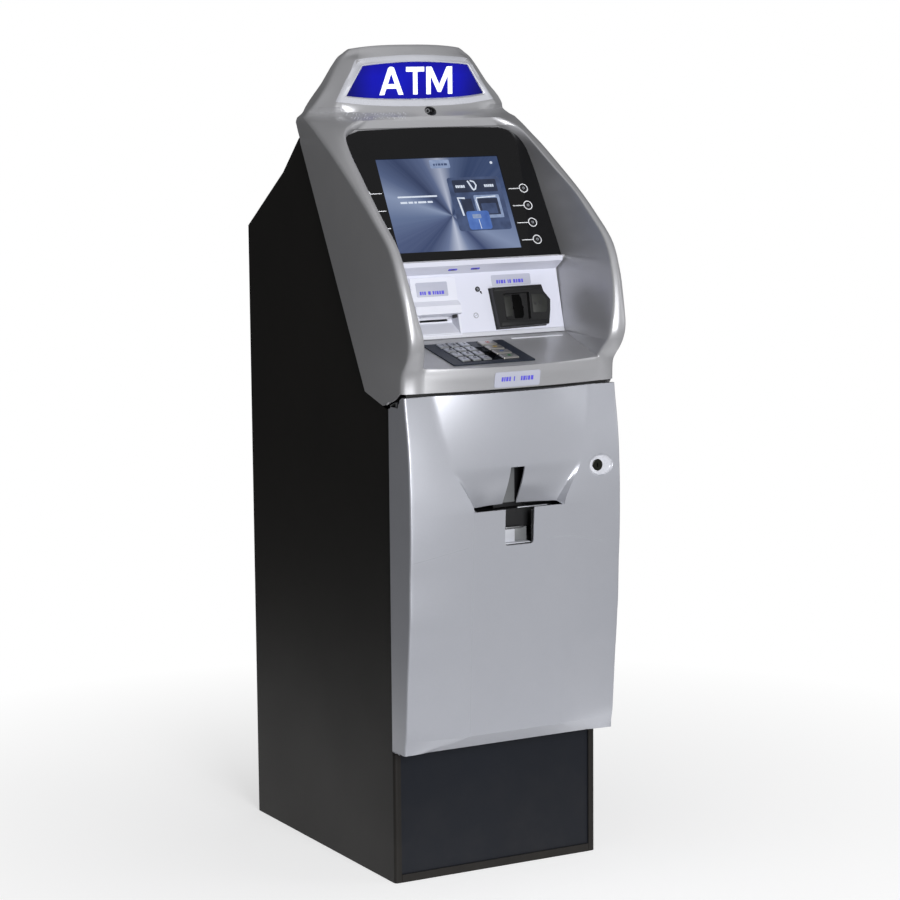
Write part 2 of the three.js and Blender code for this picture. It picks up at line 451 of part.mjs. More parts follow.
put(screenFrame, "lcd_module", join(box(-131, 131, 7, 19, 13, 203), box(-60, 60, 18.9, 26, 40, 120)), paint(0x7e8288, 0.4, 0.7));
KEY_Z.forEach((z, i) => [["l", -1], ["r", 1]].forEach(([side, s]) => {
  put(screenFrame, `function_key_${side}${4 - i}`, join(cyl("y", 0, 0, 6.5, -0.6, 5.4, 20), cyl("y", 0, 0, 9, 7.2, 9.4, 16), cyl("y", 0, 0, 4.5, 5.3, 7.3, 16)), paint(0x2a2a2c, 0.3), [s * 155.5, 0, z]);
}));

// fascia panel under the screen: flat light face, slanted brow and a strip
const fasciaPts = [[80.2, 917.9], [110, 1025], [87, 1041], [87, 1049.2], [91.4, 1049.2], [91.4, 1043.4], [114.6, 1026.6], [84.4, 917.9]];
let fascia = prism("x", fasciaPts, -189.6, 189.6);
const readerOut = [[49, 82], [148, 83], [151, 70.6], [162, 56], [159, 37.4], [153, 13.3], [54, 11.4]];
const panelHoles = [
  box(66, 138, -6, 12, 20, 74), // card reader body passes
  box(-98.4, -17, -6, 12, 7, 66), // receipt outlet
  cyl("y", 27, 82.9, 2.2, -6, 12, 20), // headphone socket
];
fascia = cut(fascia, ...panelHoles.map((p) => placed(p, panelM)));
put(machine, "fascia_panel", fascia, paint(0xd4d6e2, 0.4));

// card reader: dark bezel with a tall mouth, motor unit behind it
const readerBezel = cut(prism("y", readerOut, -13, -0.4), prism("y", [[70, 70], [121, 71], [118, 24], [70, 24]], -16, -4), box(84, 112, -20, 4, 44, 47.4));
put(panelFrame, "card_reader_bezel", readerBezel, paint(0x2c2c2e, 0.4));
put(panelFrame, "card_reader_body", cut(box(68, 136, 0.2, 95, 22, 72), box(84, 112, -2, 88, 44, 47.4)), paint(0x55585d, 0.5, 0.3));

// receipt outlet: hump with a slot over a ramp, printer and paper roll behind it
const RX = [-98, -17.4];
const receipt = join(
  prism("x", [[-0.4, 108], [-3, 107], [-3, 66], [-12, 56], [-12, 42], [-8, 41], [-0.4, 41]], -104, -16), // plate and hump
  prism("x", [[-0.6, 41], [6, 41], [6, 65], [-0.6, 65]], ...RX),
  prism("x", [[-3, 5], [-0.4, 5], [-0.4, 43], [-3, 43]], -104, -96), prism("x", [[-3, 5], [-0.4, 5], [-0.4, 43], [-3, 43]], -19.4, -16), // side frames
  prism("x", [[-3, 5], [-0.4, 5], [-0.4, 8.2], [-3, 7]], -104, -16),
  prism("x", [[-0.6, 7.2], [1.4, 7.4], [24, 29.4], [24, 44], [21, 44], [21, 31], [-0.6, 9.6]], ...RX), // ramp
  prism("x", [[-0.6, 7.2], [1.4, 7.4], [24, 29.4], [24, 44], [-0.6, 44]], -98, -96),
  prism("x", [[-0.6, 7.2], [1.4, 7.4], [24, 29.4], [24, 44], [-0.6, 44]], -19.4, -17.4),
);
put(panelFrame, "receipt_bezel", receipt.subtract(box(-90, -28, 18, 26, 34, 38)), paint(0xdcdde6, 0.45));
put(panelFrame, "receipt_printer", join(cut(box(-102, -14, 28, 90, 10, 74), box(-90, -28, 20, 60, 34, 38)), box(-102, -98.6, 88, 136, 44, 60), cyl("x", 128, 52, 5.6, -100, -15, 20)), paint(0x3a3c40, 0.5));
put(panelFrame, "paper_roll", cut(cyl("x", 0, 0, 34, -40, 40, 32), cyl("x", 0, 0, 6, -41, 41, 20)), paint(0xf1f0ec, 0.8), [-58, 128, 52]);

// keypad plate and keys, in the shelf's frame: x across, -y up off the shelf, z towards the screen
let plate = prism("y", roundRect(-110.5, 47, 18.6, 132, 3, 3), -2.4, -0.4);
plate = plate.add(box(-105.5, 42, -0.5, 10, 23.6, 127));
const COL = [-79, -58.5, -38];
const ROW = [116, 91.2, 66.4, 41.6];
const FN_X = 7.5;
const plunger = [[-7, 7], [-9.2, 9.2]];
const pad = (w, h) => {
  const ring = (k, y, r) => roundRect(-w / 2 + k, w / 2 - k, -h / 2 + k, h / 2 - k, r, 2);
  const rows = [[0, 6], [0, -3.6], [1.2, -4.9]].map(([k, y]) => ring(k, y, 2.6 - k).map(([x, z]) => [x, z, y]));
  return loft(rows.map((r) => r)).transform([1, 0, 0, 0, 0, 0, 1, 0, 0, -1, 0, 0, 0, 0, 0, 1].map((v) => v));
};
const names = [["key_1", "key_2", "key_3"], ["key_4", "key_5", "key_6"], ["key_7", "key_8", "key_9"], ["key_blank_left", "key_0", "key_blank_right"]];
const fnNames = ["key_cancel", "key_clear", "key_help", "key_enter"];
const spots = [];
ROW.forEach((z, r) => {
  COL.forEach((x, c) => spots.push([names[r][c], x, z, 17, 20]));
  spots.push([fnNames[r], FN_X, z, 31, 20]);
});
const keyFlip = new THREE.Matrix4().makeRotationX(Math.PI / 2);
spots.forEach(([, x, z, w, h]) => (plate = plate.subtract(box(x - w / 2 - 0.4, x + w / 2 + 0.4, -5, 7.6, z - h / 2 - 0.4, z + h / 2 + 0.4))));
put(shelfFrame, "keypad_plate", plate, paint(0x323a4b, 0.45));
spots.forEach(([name, x, z, w, h]) => {
  const ring = (k, y, r) => roundRect(-w / 2 + k, w / 2 - k, -h / 2 + k, h / 2 - k, r, 2).map(([a, b]) => [a, b, y]);
  // rings stacked upwards along local -y
  const m = loft([ring(0.2, -5.6, 2.2), ring(0.2, 3.8, 2.2), ring(1.4, 5, 1.4)]);
  put(shelfFrame, name, placed(m, keyFlip), paint(0xaaafb4, 0.35, 0.6), [x, 0, z]);
});

// hood lock on the right wing's inner side of the cabinet edge, and the hood's rear hinge rod
put(machine, "hood_lock", join(cyl("x", 132, 1000, 8, 198, 213.5, 24), box(194, 198.2, 124, 140, 992, 1024)).subtract(box(212, 219, 131, 133, 996, 1004)), paint(0x9a9ca0, 0.3, 0.9));
put(machine, "hood_hinge", join(cyl("x", ...HOOD_PIVOT, 4, -110, 110, 16), ...[-1, 1].flatMap((k) => [box(Math.min(k * 84, k * 108), Math.max(k * 84, k * 108), 316, 338, 1234, 1238), box(Math.min(k * 84, k * 108), Math.max(k * 84, k * 108), 312, 320, 1234, 1246)])), paint(0x8d9096, 0.35, 0.9));

export default group;
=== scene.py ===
import json
import math

import bmesh
import bpy
import numpy as np
from mathutils import Matrix, Vector

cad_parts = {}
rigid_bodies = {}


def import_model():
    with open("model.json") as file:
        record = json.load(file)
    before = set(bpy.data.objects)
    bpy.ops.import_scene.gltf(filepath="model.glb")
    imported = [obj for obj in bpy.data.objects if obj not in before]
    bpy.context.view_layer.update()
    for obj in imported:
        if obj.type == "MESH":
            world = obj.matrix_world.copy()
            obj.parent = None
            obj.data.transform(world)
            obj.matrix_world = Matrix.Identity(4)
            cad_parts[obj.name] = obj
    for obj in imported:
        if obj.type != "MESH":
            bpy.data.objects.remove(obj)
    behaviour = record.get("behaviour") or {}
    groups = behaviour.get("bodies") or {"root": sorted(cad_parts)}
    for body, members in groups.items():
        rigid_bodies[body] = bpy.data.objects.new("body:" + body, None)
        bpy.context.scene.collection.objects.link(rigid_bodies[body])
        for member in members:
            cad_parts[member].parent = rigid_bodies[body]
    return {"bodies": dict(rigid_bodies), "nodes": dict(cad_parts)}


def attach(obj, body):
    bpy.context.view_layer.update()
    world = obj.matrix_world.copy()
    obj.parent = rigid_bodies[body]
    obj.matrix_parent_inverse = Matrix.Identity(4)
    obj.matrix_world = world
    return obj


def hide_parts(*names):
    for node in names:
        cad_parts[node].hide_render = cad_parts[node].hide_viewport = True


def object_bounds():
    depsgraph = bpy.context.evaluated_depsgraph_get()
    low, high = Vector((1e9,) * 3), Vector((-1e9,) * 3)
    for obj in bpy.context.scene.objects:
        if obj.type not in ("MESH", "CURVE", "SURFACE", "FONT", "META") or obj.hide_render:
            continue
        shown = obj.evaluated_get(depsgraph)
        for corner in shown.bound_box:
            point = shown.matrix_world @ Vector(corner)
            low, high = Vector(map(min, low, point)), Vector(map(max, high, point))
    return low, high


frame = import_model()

CAD_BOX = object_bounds()
NODES = frame["nodes"]
YC = 225.9  # machine mm -> row frame: y is counted from the cabinet's front plane in the tables below


def P(x, y, z):
    return Vector((x / 1000.0, (y - YC) / 1000.0, z / 1000.0))


# ------------------------------------------------------------------------------------------------ interpolation
def pchip(tab, col, x):
    xs = [r[0] for r in tab]
    ys = [r[col] for r in tab]
    n = len(xs)
    if x <= xs[0]:
        return ys[0]
    if x >= xs[-1]:
        return ys[-1]
    h = [xs[i + 1] - xs[i] for i in range(n - 1)]
    d = [(ys[i + 1] - ys[i]) / h[i] for i in range(n - 1)]
    m = [0.0] * n
    for i in range(1, n - 1):
        if d[i - 1] * d[i] > 0:
            w1 = 2 * h[i] + h[i - 1]
            w2 = h[i] + 2 * h[i - 1]
            m[i] = (w1 + w2) / (w1 / d[i - 1] + w2 / d[i])
    m[0], m[-1] = d[0], d[-1]
    i = max(k for k in range(n - 1) if xs[k] <= x)
    t = (x - xs[i]) / h[i]
    a, b = ys[i], ys[i + 1]
    return (
        (2 * t**3 - 3 * t**2 + 1) * a
        + (t**3 - 2 * t**2 + t) * h[i] * m[i]
        + (-2 * t**3 + 3 * t**2) * b
        + (t**3 - t**2) * h[i] * m[i + 1]
    )


def lin(tab, col, x):
    return float(np.interp(x, [r[0] for r in tab], [r[col] for r in tab]))


def mix(a, b, t):
    return tuple(p * (1 - t) + q * t for p, q in zip(a, b))


# ------------------------------------------------------------------------------------------------ mesh helpers
def link(obj):
    bpy.context.scene.collection.objects.link(obj)
    return obj


def obj_from(name, verts, faces, mats=()):
    me = bpy.data.meshes.new(name)
    me.from_pydata([P(*v) for v in verts], [], faces)
    me.update()
    o = link(bpy.data.objects.new(name, me))
    for m in mats:
        me.materials.append(m)
    return o


def clean(o, dist=2e-5):
    bm = bmesh.new()
    bm.from_mesh(o.data)
    bmesh.ops.remove_doubles(bm, verts=bm.verts, dist=dist)
    bmesh.ops.dissolve_degenerate(bm, dist=1e-5, edges=bm.edges)
    bmesh.ops.recalc_face_normals(bm, faces=bm.faces)
    bm.to_mesh(o.data)
    bm.free()


def bake(o):
    dg = bpy.context.evaluated_depsgraph_get()
    dg.update()
    me = bpy.data.meshes.new_from_object(o.evaluated_get(dg), depsgraph=dg)
    mats = [m for m in o.data.materials]
    o.modifiers.clear()
    o.data = me
    if not me.materials:
        for m in mats:
            me.materials.append(m)
    return o


def smooth(o, angle=35):
    bm = bmesh.new()
    bm.from_mesh(o.data)
    lim = math.radians(angle)
    for f in bm.faces:
        f.smooth = True
    for e in bm.edges:
        e.smooth = len(e.link_faces) != 2 or e.calc_face_angle(0.0) < lim
    bm.to_mesh(o.data)
    bm.free()


def bevel(o, width=0.6, segs=2, angle=30, harden=True):
    m = o.modifiers.new("bevel", "BEVEL")
    m.width = width / 1000.0
    m.segments = segs
    m.limit_method = "ANGLE"
    m.angle_limit = math.radians(angle)
    m.use_clamp_overlap = True
    m.harden_normals = False
    m.miter_outer = "MITER_ARC"
    bake(o)


def weighted(o):
    m = o.modifiers.new("wn", "WEIGHTED_NORMAL")
    m.keep_sharp = True
    m.weight = 80
    bake(o)


def refine(node, body, material, width=0.8, segs=2, angle=25, name=None):
    """A bevelled, cleaned-up copy of a plain-faced CAD node that stands for it."""
    src = NODES[node]
    me = src.data.copy()
    o = link(bpy.data.objects.new(name or node + "_fine", me))
    me.materials.clear()
    me.materials.append(material)
    bm = bmesh.new()
    bm.from_mesh(me)
    bmesh.ops.remove_doubles(bm, verts=bm.verts, dist=1e-5)
    plain = node == "rear_panel"  # its louvred face must keep its own triangles
    if not plain:
        bmesh.ops.dissolve_limit(bm, angle_limit=math.radians(0.8), verts=bm.verts, edges=bm.edges)
    for f in bm.faces:
        f.material_index = 0
        f.smooth = not plain
    for e in bm.edges:
        e.smooth = True
    bm.to_mesh(me)
    bm.free()
    if not plain:
        if width:
            bevel(o, width, segs, angle)
        for p in o.data.polygons:
            p.use_smooth = True
        smooth(o, 38)
        weighted(o)
    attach(o, body)
    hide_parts(node)
    return o


def extrude(name, outline, frame_m, y0, y1, material, bev=0.4, segs=2, body="hood"):
    """Closed plate: outline of (x, z) in a slanted frame, from depth y0 to y1."""
    n = len(outline)
    vs = [frame_m @ Vector((x, y0, z)) for x, z in outline] + [frame_m @ Vector((x, y1, z)) for x, z in outline]
    me = bpy.data.meshes.new(name)
    faces = [list(range(n)), list(range(2 * n - 1, n - 1, -1))]
    faces += [[i, n + i, n + (i + 1) % n, (i + 1) % n] for i in range(n)]
    me.from_pydata([P(*v) for v in vs], [], faces)
    me.update()
    o = link(bpy.data.objects.new(name, me))
    if material:
        me.materials.append(material)
    bm = bmesh.new()
    bm.from_mesh(me)
    bmesh.ops.recalc_face_normals(bm, faces=bm.faces)
    bm.to_mesh(me)
    bm.free()
    if bev:
        bevel(o, bev, segs, 30)
    smooth(o, 38)
    if body:
        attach(o, body)
    return o


def frame_matrix(y, z, deg):
    return Matrix.Translation((0, y, z)) @ Matrix.Rotation(math.radians(-deg), 4, "X")


SCREEN = frame_matrix(100, 1048, 28.37)
PANEL = frame_matrix(80, 917, 15.52)
SHELF = frame_matrix(-78, 883.6, 78.06)
WORLD = Matrix.Identity(4)


def round_rect(x0, x1, z0, z1, r, n=5):
    out = []
    for cx, cz, a in ((x1 - r, z1 - r, 0), (x0 + r, z1 - r, 90), (x0 + r, z0 + r, 180), (x1 - r, z0 + r, 270)):
        for i in range(n + 1):
            t = math.radians(a + 90 * i / n)
            out.append((cx + r * math.cos(t), cz + r * math.sin(t)))
    return out


def circle(cx, cz, r, n=32, rz=None):
    rz = rz or r
    return [(cx + r * math.cos(2 * math.pi * i / n), cz + rz * math.sin(2 * math.pi * i / n)) for i in range(n)]


def cut(o, cutter):
    m = o.modifiers.new("cut", "BOOLEAN")
    m.object = cutter
    m.operation = "DIFFERENCE"
    m.solver = "EXACT"
    bake(o)
    bpy.data.objects.remove(cutter)


def cutter(outline, frame_m, y0, y1):
    return extrude("tool_cut", outline, frame_m, y0, y1, None, bev=0, body=None)


# ------------------------------------------------------------------------------------------------ materials
class Nodes:
    def __init__(self, name):
        self.m = bpy.data.materials.new(name)
        self.m.use_nodes = True
        self.t = self.m.node_tree
        self.t.nodes.clear()
        self.out = self.t.nodes.new("ShaderNodeOutputMaterial")
        self.b = self.t.nodes.new("ShaderNodeBsdfPrincipled")
        self.t.links.new(self.b.outputs[0], self.out.inputs[0])
        self.co = self.t.nodes.new("ShaderNodeTexCoord").outputs["Object"]

    def node(self, kind, **kw):
        n = self.t.nodes.new("ShaderNode" + kind)
        for k, v in kw.items():
            setattr(n, k, v)
        return n

    def link(self, a, b):
        self.t.links.new(a, b)

    def noise(self, scale, detail=3, rough=0.5, vec=None, stretch=None):
        src = vec or self.co
        if stretch:
            mp = self.node("Mapping")
            mp.inputs["Scale"].default_value = stretch
            self.link(src, mp.inputs["Vector"])
            src = mp.outputs[0]
        n = self.node("TexNoise")
        n.inputs["Scale"].default_value = scale
        n.inputs["Detail"].default_value = detail
        n.inputs["Roughness"].default_value = rough
        self.link(src, n.inputs["Vector"])
        return n.outputs["Fac"]

    def voronoi(self, scale, feature="F1"):
        n = self.node("TexVoronoi", feature=feature)
        n.inputs["Scale"].default_value = scale
        self.link(self.co, n.inputs["Vector"])
        return n.outputs["Distance"]

    def ramp(self, fac, stops):
        r = self.node("ValToRGB")
        cr = r.color_ramp
        while len(cr.elements) < len(stops):
            cr.elements.new(0.5)
        for e, (p, c) in zip(cr.elements, stops):
            e.position = p
            e.color = (*c, 1) if len(c) == 3 else c
        self.link(fac, r.inputs[0])
        return r.outputs[0]

    def range(self, fac, a, b, lo=0.0, hi=1.0):
        n = self.node("MapRange")
        n.inputs["From Min"].default_value = lo
        n.inputs["From Max"].default_value = hi
        n.inputs["To Min"].default_value = a
        n.inputs["To Max"].default_value = b
        self.link(fac, n.inputs["Value"])
        return n.outputs["Result"]

    def mixc(self, fac, a, b):
        n = self.node("Mix", data_type="RGBA")
        for sock, v in ((n.inputs[0], fac), (n.inputs[6], a), (n.inputs[7], b)):
            if hasattr(v, "links"):
                self.link(v, sock)
            elif isinstance(v, (int, float)):
                sock.default_value = v
            else:
                sock.default_value = (*v, 1)
        return n.outputs[2]

    def math(self, op, a, b=0.0):
        n = self.node("Math", operation=op)
        for sock, v in ((n.inputs[0], a), (n.inputs[1], b)):
            if hasattr(v, "links"):
                self.link(v, sock)
            else:
                sock.default_value = v
        return n.outputs[0]

    def bump(self, h, strength=0.1, dist=0.0002, prev=None):
        n = self.node("Bump")
        n.inputs["Strength"].default_value = strength
        n.inputs["Distance"].default_value = dist
        self.link(h, n.inputs["Height"])
        if prev is not None:
            self.link(prev, n.inputs["Normal"])
        self.link(n.outputs[0], self.b.inputs["Normal"])
        return n.outputs[0]

    def set(self, **kw):
        for k, v in kw.items():
            self.b.inputs[k.replace("_", " ")].default_value = v


def painted(name, c1, c2, metallic, rough, coat=0.0, grain=900, bump=0.06, bump_d=0.00015, mottle=6.0, flakes=0.0, grime=0.0, spec=0.5):
    n = Nodes(name)
    big = n.noise(mottle, 4, 0.55)
    fine = n.noise(grain, 2, 0.6)
    col = n.mixc(n.range(big, 0.0, 1.0, 0.35, 0.65), c1, c2)
    if flakes:
        fl = n.voronoi(1700)
        col = n.mixc(n.range(fl, flakes, 0.0, 0.0, 0.6), col, tuple(min(1, v * 1.35) for v in c1))
    if grime:
        z = n.node("SeparateXYZ")
        n.link(n.co, z.inputs[0])
        low = n.range(z.outputs[2], grime, 0.0, 0.0, 0.28)
        col = n.mixc(n.math("MULTIPLY", low, n.range(n.noise(24, 5, 0.6), 0.2, 1.0, 0.4, 0.7)), col, (0.16, 0.14, 0.12))
    n.link(col, n.b.inputs["Base Color"])
    n.link(n.range(n.math("ADD", n.math("MULTIPLY", big, 0.6), n.math("MULTIPLY", fine, 0.4)), rough - 0.05, rough + 0.06, 0.3, 0.7), n.b.inputs["Roughness"])
    n.set(Metallic=metallic, Coat_Weight=coat, Coat_Roughness=0.12, Specular_IOR_Level=spec)
    n.bump(fine, bump, bump_d)
    return n.m


SILVER = painted("silver_paint", (0.435, 0.445, 0.485), (0.405, 0.415, 0.455), 0.35, 0.36, coat=0.18, grain=1100, bump=0.05, flakes=0.28)
# pale frame paint; on the door it also lies in the lock's dish as a painted highlight
RIM_AND_HIGHLIGHT = painted("sign_frame_paint_and_dish_highlight", (0.66, 0.67, 0.72), (0.60, 0.61, 0.66), 0.15, 0.28, coat=0.35, grain=1100, bump=0.03)
# the hood's silver is a slightly darker, greyer copy of the door's: painted shade for the hood's up-facing surfaces
SILVER_HOOD_SHADED = painted("silver_paint_hood_shaded", (0.425, 0.425, 0.440), (0.395, 0.395, 0.410), 0.35, 0.36, coat=0.16, grain=1100, bump=0.05, flakes=0.28)
SILVER_IN = painted("silver_paint_inner", (0.42, 0.425, 0.445), (0.38, 0.385, 0.40), 0.35, 0.42, grain=900)
CABINET = painted("cabinet_satin", (0.0105, 0.0090, 0.0078), (0.0082, 0.0071, 0.0062), 0.0, 0.50, grain=520, bump=0.14, bump_d=0.0002, grime=0.03, mottle=3.0, spec=0.22)
KICK = painted("kick_satin", (0.0068, 0.0085, 0.0130), (0.0055, 0.0068, 0.0105), 0.0, 0.42, grain=560, bump=0.12, bump_d=0.0002, grime=0.03, mottle=3.0, spec=0.20)
STEEL_DARK = painted("inner_painted_steel", (0.13, 0.135, 0.145), (0.10, 0.105, 0.11), 0.2, 0.5, grain=420, bump=0.2)
SAFE = painted("safe_paint", (0.085, 0.09, 0.098), (0.06, 0.065, 0.07), 0.1, 0.55, grain=260, bump=0.45, bump_d=0.0004)
LIGHT = painted("light_panel_plastic", (0.66, 0.67, 0.76), (0.62, 0.63, 0.72), 0.0, 0.42, grain=1500, bump=0.05)
RECEIPT = painted("receipt_plastic", (0.70, 0.71, 0.78), (0.66, 0.67, 0.74), 0.0, 0.40, grain=1400, bump=0.05)
READER = painted("reader_plastic", (0.0135, 0.0135, 0.014), (0.010, 0.010, 0.0105), 0.0, 0.42, grain=1600, bump=0.14, spec=0.3)
BLACK = painted("black_plastic", (0.012, 0.012, 0.013), (0.008, 0.008, 0.009), 0.0, 0.42, grain=900, bump=0.15)
RUBBER = painted("dark_gasket", (0.010, 0.010, 0.010), (0.014, 0.014, 0.014), 0.0, 0.7, grain=700, bump=0.2)
PLATE = painted("keypad_plate_paint", (0.016, 0.022, 0.036), (0.012, 0.017, 0.029), 0.1, 0.42, grain=1200, bump=0.08, spec=0.3)
LABEL = painted("label_film", (0.46, 0.47, 0.55), (0.42, 0.43, 0.51), 0.0, 0.40, coat=0.1, grain=1500, bump=0.02, spec=0.35)
INK = painted("blue_ink", (0.12, 0.10, 0.66), (0.10, 0.09, 0.56), 0.0, 0.5, grain=1800, bump=0.02, spec=0.2)
WHITE = painted("white_ink", (0.80, 0.81, 0.84), (0.74, 0.75, 0.78), 0.0, 0.45, grain=1800, bump=0.02)
DARK_INK = painted("dark_ink", (0.03, 0.03, 0.035), (0.02, 0.02, 0.025), 0.0, 0.5, grain=1800, bump=0.02)
PAPER = painted("thermal_paper", (0.86, 0.855, 0.83), (0.80, 0.795, 0.77), 0.0, 0.8, grain=500, bump=0.1)


def brushed(name, c, rough=0.28, stretch=(1, 1, 40)):
    n = Nodes(name)
    s = n.noise(220, 3, 0.6, stretch=stretch)
    n.link(n.mixc(s, tuple(v * 0.82 for v in c), c), n.b.inputs["Base Color"])
    n.link(n.range(s, rough - 0.08, rough + 0.1), n.b.inputs["Roughness"])
    n.set(Metallic=1.0)
    n.bump(s, 0.06, 0.0001)
    return n.m


METAL = brushed("brushed_metal", (0.62, 0.63, 0.65))
ZINC = brushed("zinc_sheet", (0.52, 0.53, 0.55), 0.36, (1, 40, 1))
CHROME = brushed("lock_chrome", (0.66, 0.66, 0.68), 0.16, (30, 1, 1))
KEYM = brushed("key_metal", (0.56, 0.575, 0.60), 0.34, (40, 1, 1))


def gloss(name, c, rough=0.06, coat=0.6):
    n = Nodes(name)
    f = n.noise(9, 4, 0.6)
    fine = n.noise(420, 2, 0.5)
    n.link(n.mixc(f, c, tuple(v * 1.5 + 0.001 for v in c)), n.b.inputs["Base Color"])
    n.link(n.range(n.noise(14, 5, 0.65), rough, rough + 0.06, 0.35, 0.75), n.b.inputs["Roughness"])
    n.set(Coat_Weight=coat, Coat_Roughness=0.03)
    n.bump(fine, 0.01, 0.00005)
    return n.m


BEZEL = gloss("bezel_gloss_black", (0.0040, 0.0040, 0.0045), 0.08, 0.15)
FKEY = gloss("function_key_gloss", (0.010, 0.010, 0.011), 0.14, 0.3)

# ------------------------------------------------------------------------------------------------ section tables (mm)
WING = [
    [846, 168, -60, 206, -52.5], [858, 168, -60.2, 206, -53], [870, 168, -60.6, 205.6, -54.5], [880, 168, -61, 205, -58], [890, 168.6, -63, 205, -66],
    [900, 171, -70, 206, -75], [910, 174, -77, 207, -82], [920, 177, -83.2, 208, -86.6], [935, 179.5, -86, 209.6, -89.6], [945, 181, -85.8, 210.2, -89.4],
    [960, 184.6, -83.6, 211, -86], [980, 189, -79.8, 212, -80.4], [1000, 192, -75, 213, -74.4], [1020, 194.6, -69, 214.6, -67.5], [1040, 196.4, -61, 215.3, -59.2],
    [1060, 198, -52, 215.8, -50.2], [1080, 198.4, -39.5, 216, -37.5], [1100, 198.8, -20.5, 216, -16.5], [1120, 198.6, 5, 216, 9.5], [1140, 198.2, 29.5, 215.7, 35.5],
    [1160, 197, 54, 215.2, 63.5], [1180, 193.5, 83, 214.2, 93], [1200, 189.4, 112, 213, 124], [1220, 186, 141, 212, 156], [1240, 182, 168, 210.8, 189],
    [1260, 177, 193, 209.2, 226], [1274, 166, 208, 208.2, 251], [1288, 140, 220, 207, 279],
]
EDGE_LOW, EDGE_TOP = (75, 838), (308, 1250)
BACK = [[818, 4], [821, 10], [838.6, 74.4], [1250.6, 307.6], [1266, 316.5], [1283, 325], [1300, 317], [1416, 311]]
RECESS = [
    [883.6, 165], [890, 170], [900, 177], [917, 190.2], [940, 190.5], [960, 191], [1000, 192], [1026, 193], [1043.6, 194.4], [1050, 195.6], [1080, 195], [1100, 194],
    [1120, 193], [1160, 190.5], [1200, 188], [1225, 185], [1240, 180], [1250, 173], [1260, 161], [1268, 146], [1272.6, 138], [1280, 128], [1288, 118],
]
# sign surround above the forehead: height, eight points of the half outline from the front centre
TOPPER = [
    [1291, (0, 221), (56, 222), (105, 226), (140, 238), (172, 264), (195, 285), (205.6, 294), (206, 321)],
    [1300, (0, 228), (56, 236), (105, 247), (138, 259), (160, 271), (180, 286), (196, 300), (197, 317)],
    [1309, (0, 235), (56, 242), (105, 252), (140, 260), (161, 265), (176, 279), (190, 293), (192, 316.5)],
    [1322, (0, 241.5), (54, 247), (102, 257), (136, 264), (152, 267.5), (164, 278), (181, 290), (183, 315.8)],
    [1350, (0, 253.5), (47, 258), (90, 265), (118, 269), (134, 271), (143, 281), (158, 295), (161, 314.4)],
    [1375, (0, 263.5), (41, 266.5), (79, 271), (104, 273.5), (119, 275), (129, 285), (142, 299), (145, 313)],
    [1389, (0, 269.5), (38, 271), (72, 274), (94, 275.5), (108, 276.5), (120, 288), (132, 301), (135, 312.3)],
    [1399, (0, 275), (38, 276.5), (70, 281), (90, 284), (103, 287), (115, 296), (126, 303), (129, 311.8)],
    [1407, (0, 280), (36, 282), (66, 286), (85, 290), (97, 293), (110, 299), (119, 304), (121, 311.4)],
    [1412, (0, 284), (35, 286), (64, 289.5), (82, 293), (95, 296), (105, 300.5), (114, 305), (115, 311.2)],
    [1414.6, (0, 287.4), (34, 289.4), (62, 292.6), (80, 295.8), (92, 298.6), (100, 301.8), (109, 306), (110, 311)],
]


def seam_z(y):
    return float(np.interp(y, [-50.5, 10, 75], [846, 821, 838.6]))


def back_y(z):
    return float(np.interp(z, [r[0] for r in BACK], [r[1] for r in BACK]))


def shelf_z(y):
    return 883.6 + (y + 78) * 33.4 / 158


def lip_y(x, xi=168.0, yi=-61.0, yc=-79.0):
    t = min(1.0, x / xi)
    return yi + (yc - yi) * (1 - t * t)


def floor_y(z):
    if z < 917:
        return -78 + (z - 883.6) * 158 / 33.4
    if z < 1026:
        return 80 + (z - 917) * 30 / 108 + 4.9
    if z < 1044:
        return lin([[1026, 115.4], [1044, 92.2]], 1, z)
    if z < 1050:
        return 92.2
    if z < 1270:
        return 100 + (z - 1048) * 0.54 + 6.7
    return lin([[1270, 225.0], [1272.4, 221.6], [1288, 220.4]], 1, z)


def rounded(pts, radii, n):
    """Polyline whose inner points are replaced by n-point quadratic roundings of the given radius (0 keeps n copies apart)."""
    out = [pts[0]]
    for i in range(1, len(pts) - 1):
        p, a, b = Vector(pts[i]), Vector(pts[i - 1]), Vector(pts[i + 1])
        r = radii[i]
        ra = min(r, (p - a).length * 0.45)
        rb = min(r, (p - b).length * 0.45)
        s = p + (a - p).normalized() * ra if ra > 1e-6 else p.copy()
        e = p + (b - p).normalized() * rb if rb > 1e-6 else p.copy()
        for k in range(n):
            t = k / (n - 1)
            q = s * (1 - t) ** 2 + p * 2 * t * (1 - t) + e * t * t
            out.append(tuple(q))
    out.append(pts[-1])
    return out


def spread(poly, n):
    """n points at equal arc length along a polyline, both ends kept."""
    poly = [Vector(p) for p in poly]
    d = [0.0]
    for a, b in zip(poly, poly[1:]):
        d.append(d[-1] + (b - a).length)
    total = d[-1] or 1e-9
    out = []
    for k in range(n):
        s = total * k / (n - 1)
        i = max(j for j in range(len(d)) if d[j] <= s + 1e-9)
        i = min(i, len(poly) - 2)
        seg = d[i + 1] - d[i]
        t = 0 if seg < 1e-9 else (s - d[i]) / seg
        out.append(tuple(poly[i].lerp(poly[i + 1], t)))
    return out


NF, NW, NR, NB, NS = 22, 9, 6, 8, 26  # columns: floor, recess wall, rounding, front band, side


def crease_row(zc):
    xi, yi = pchip(WING, 1, zc), pchip(WING, 2, zc)
    xo, yo = pchip(WING, 3, zc), pchip(WING, 4, zc)
    return (xi, yi, zc), (xo, yo, zc)


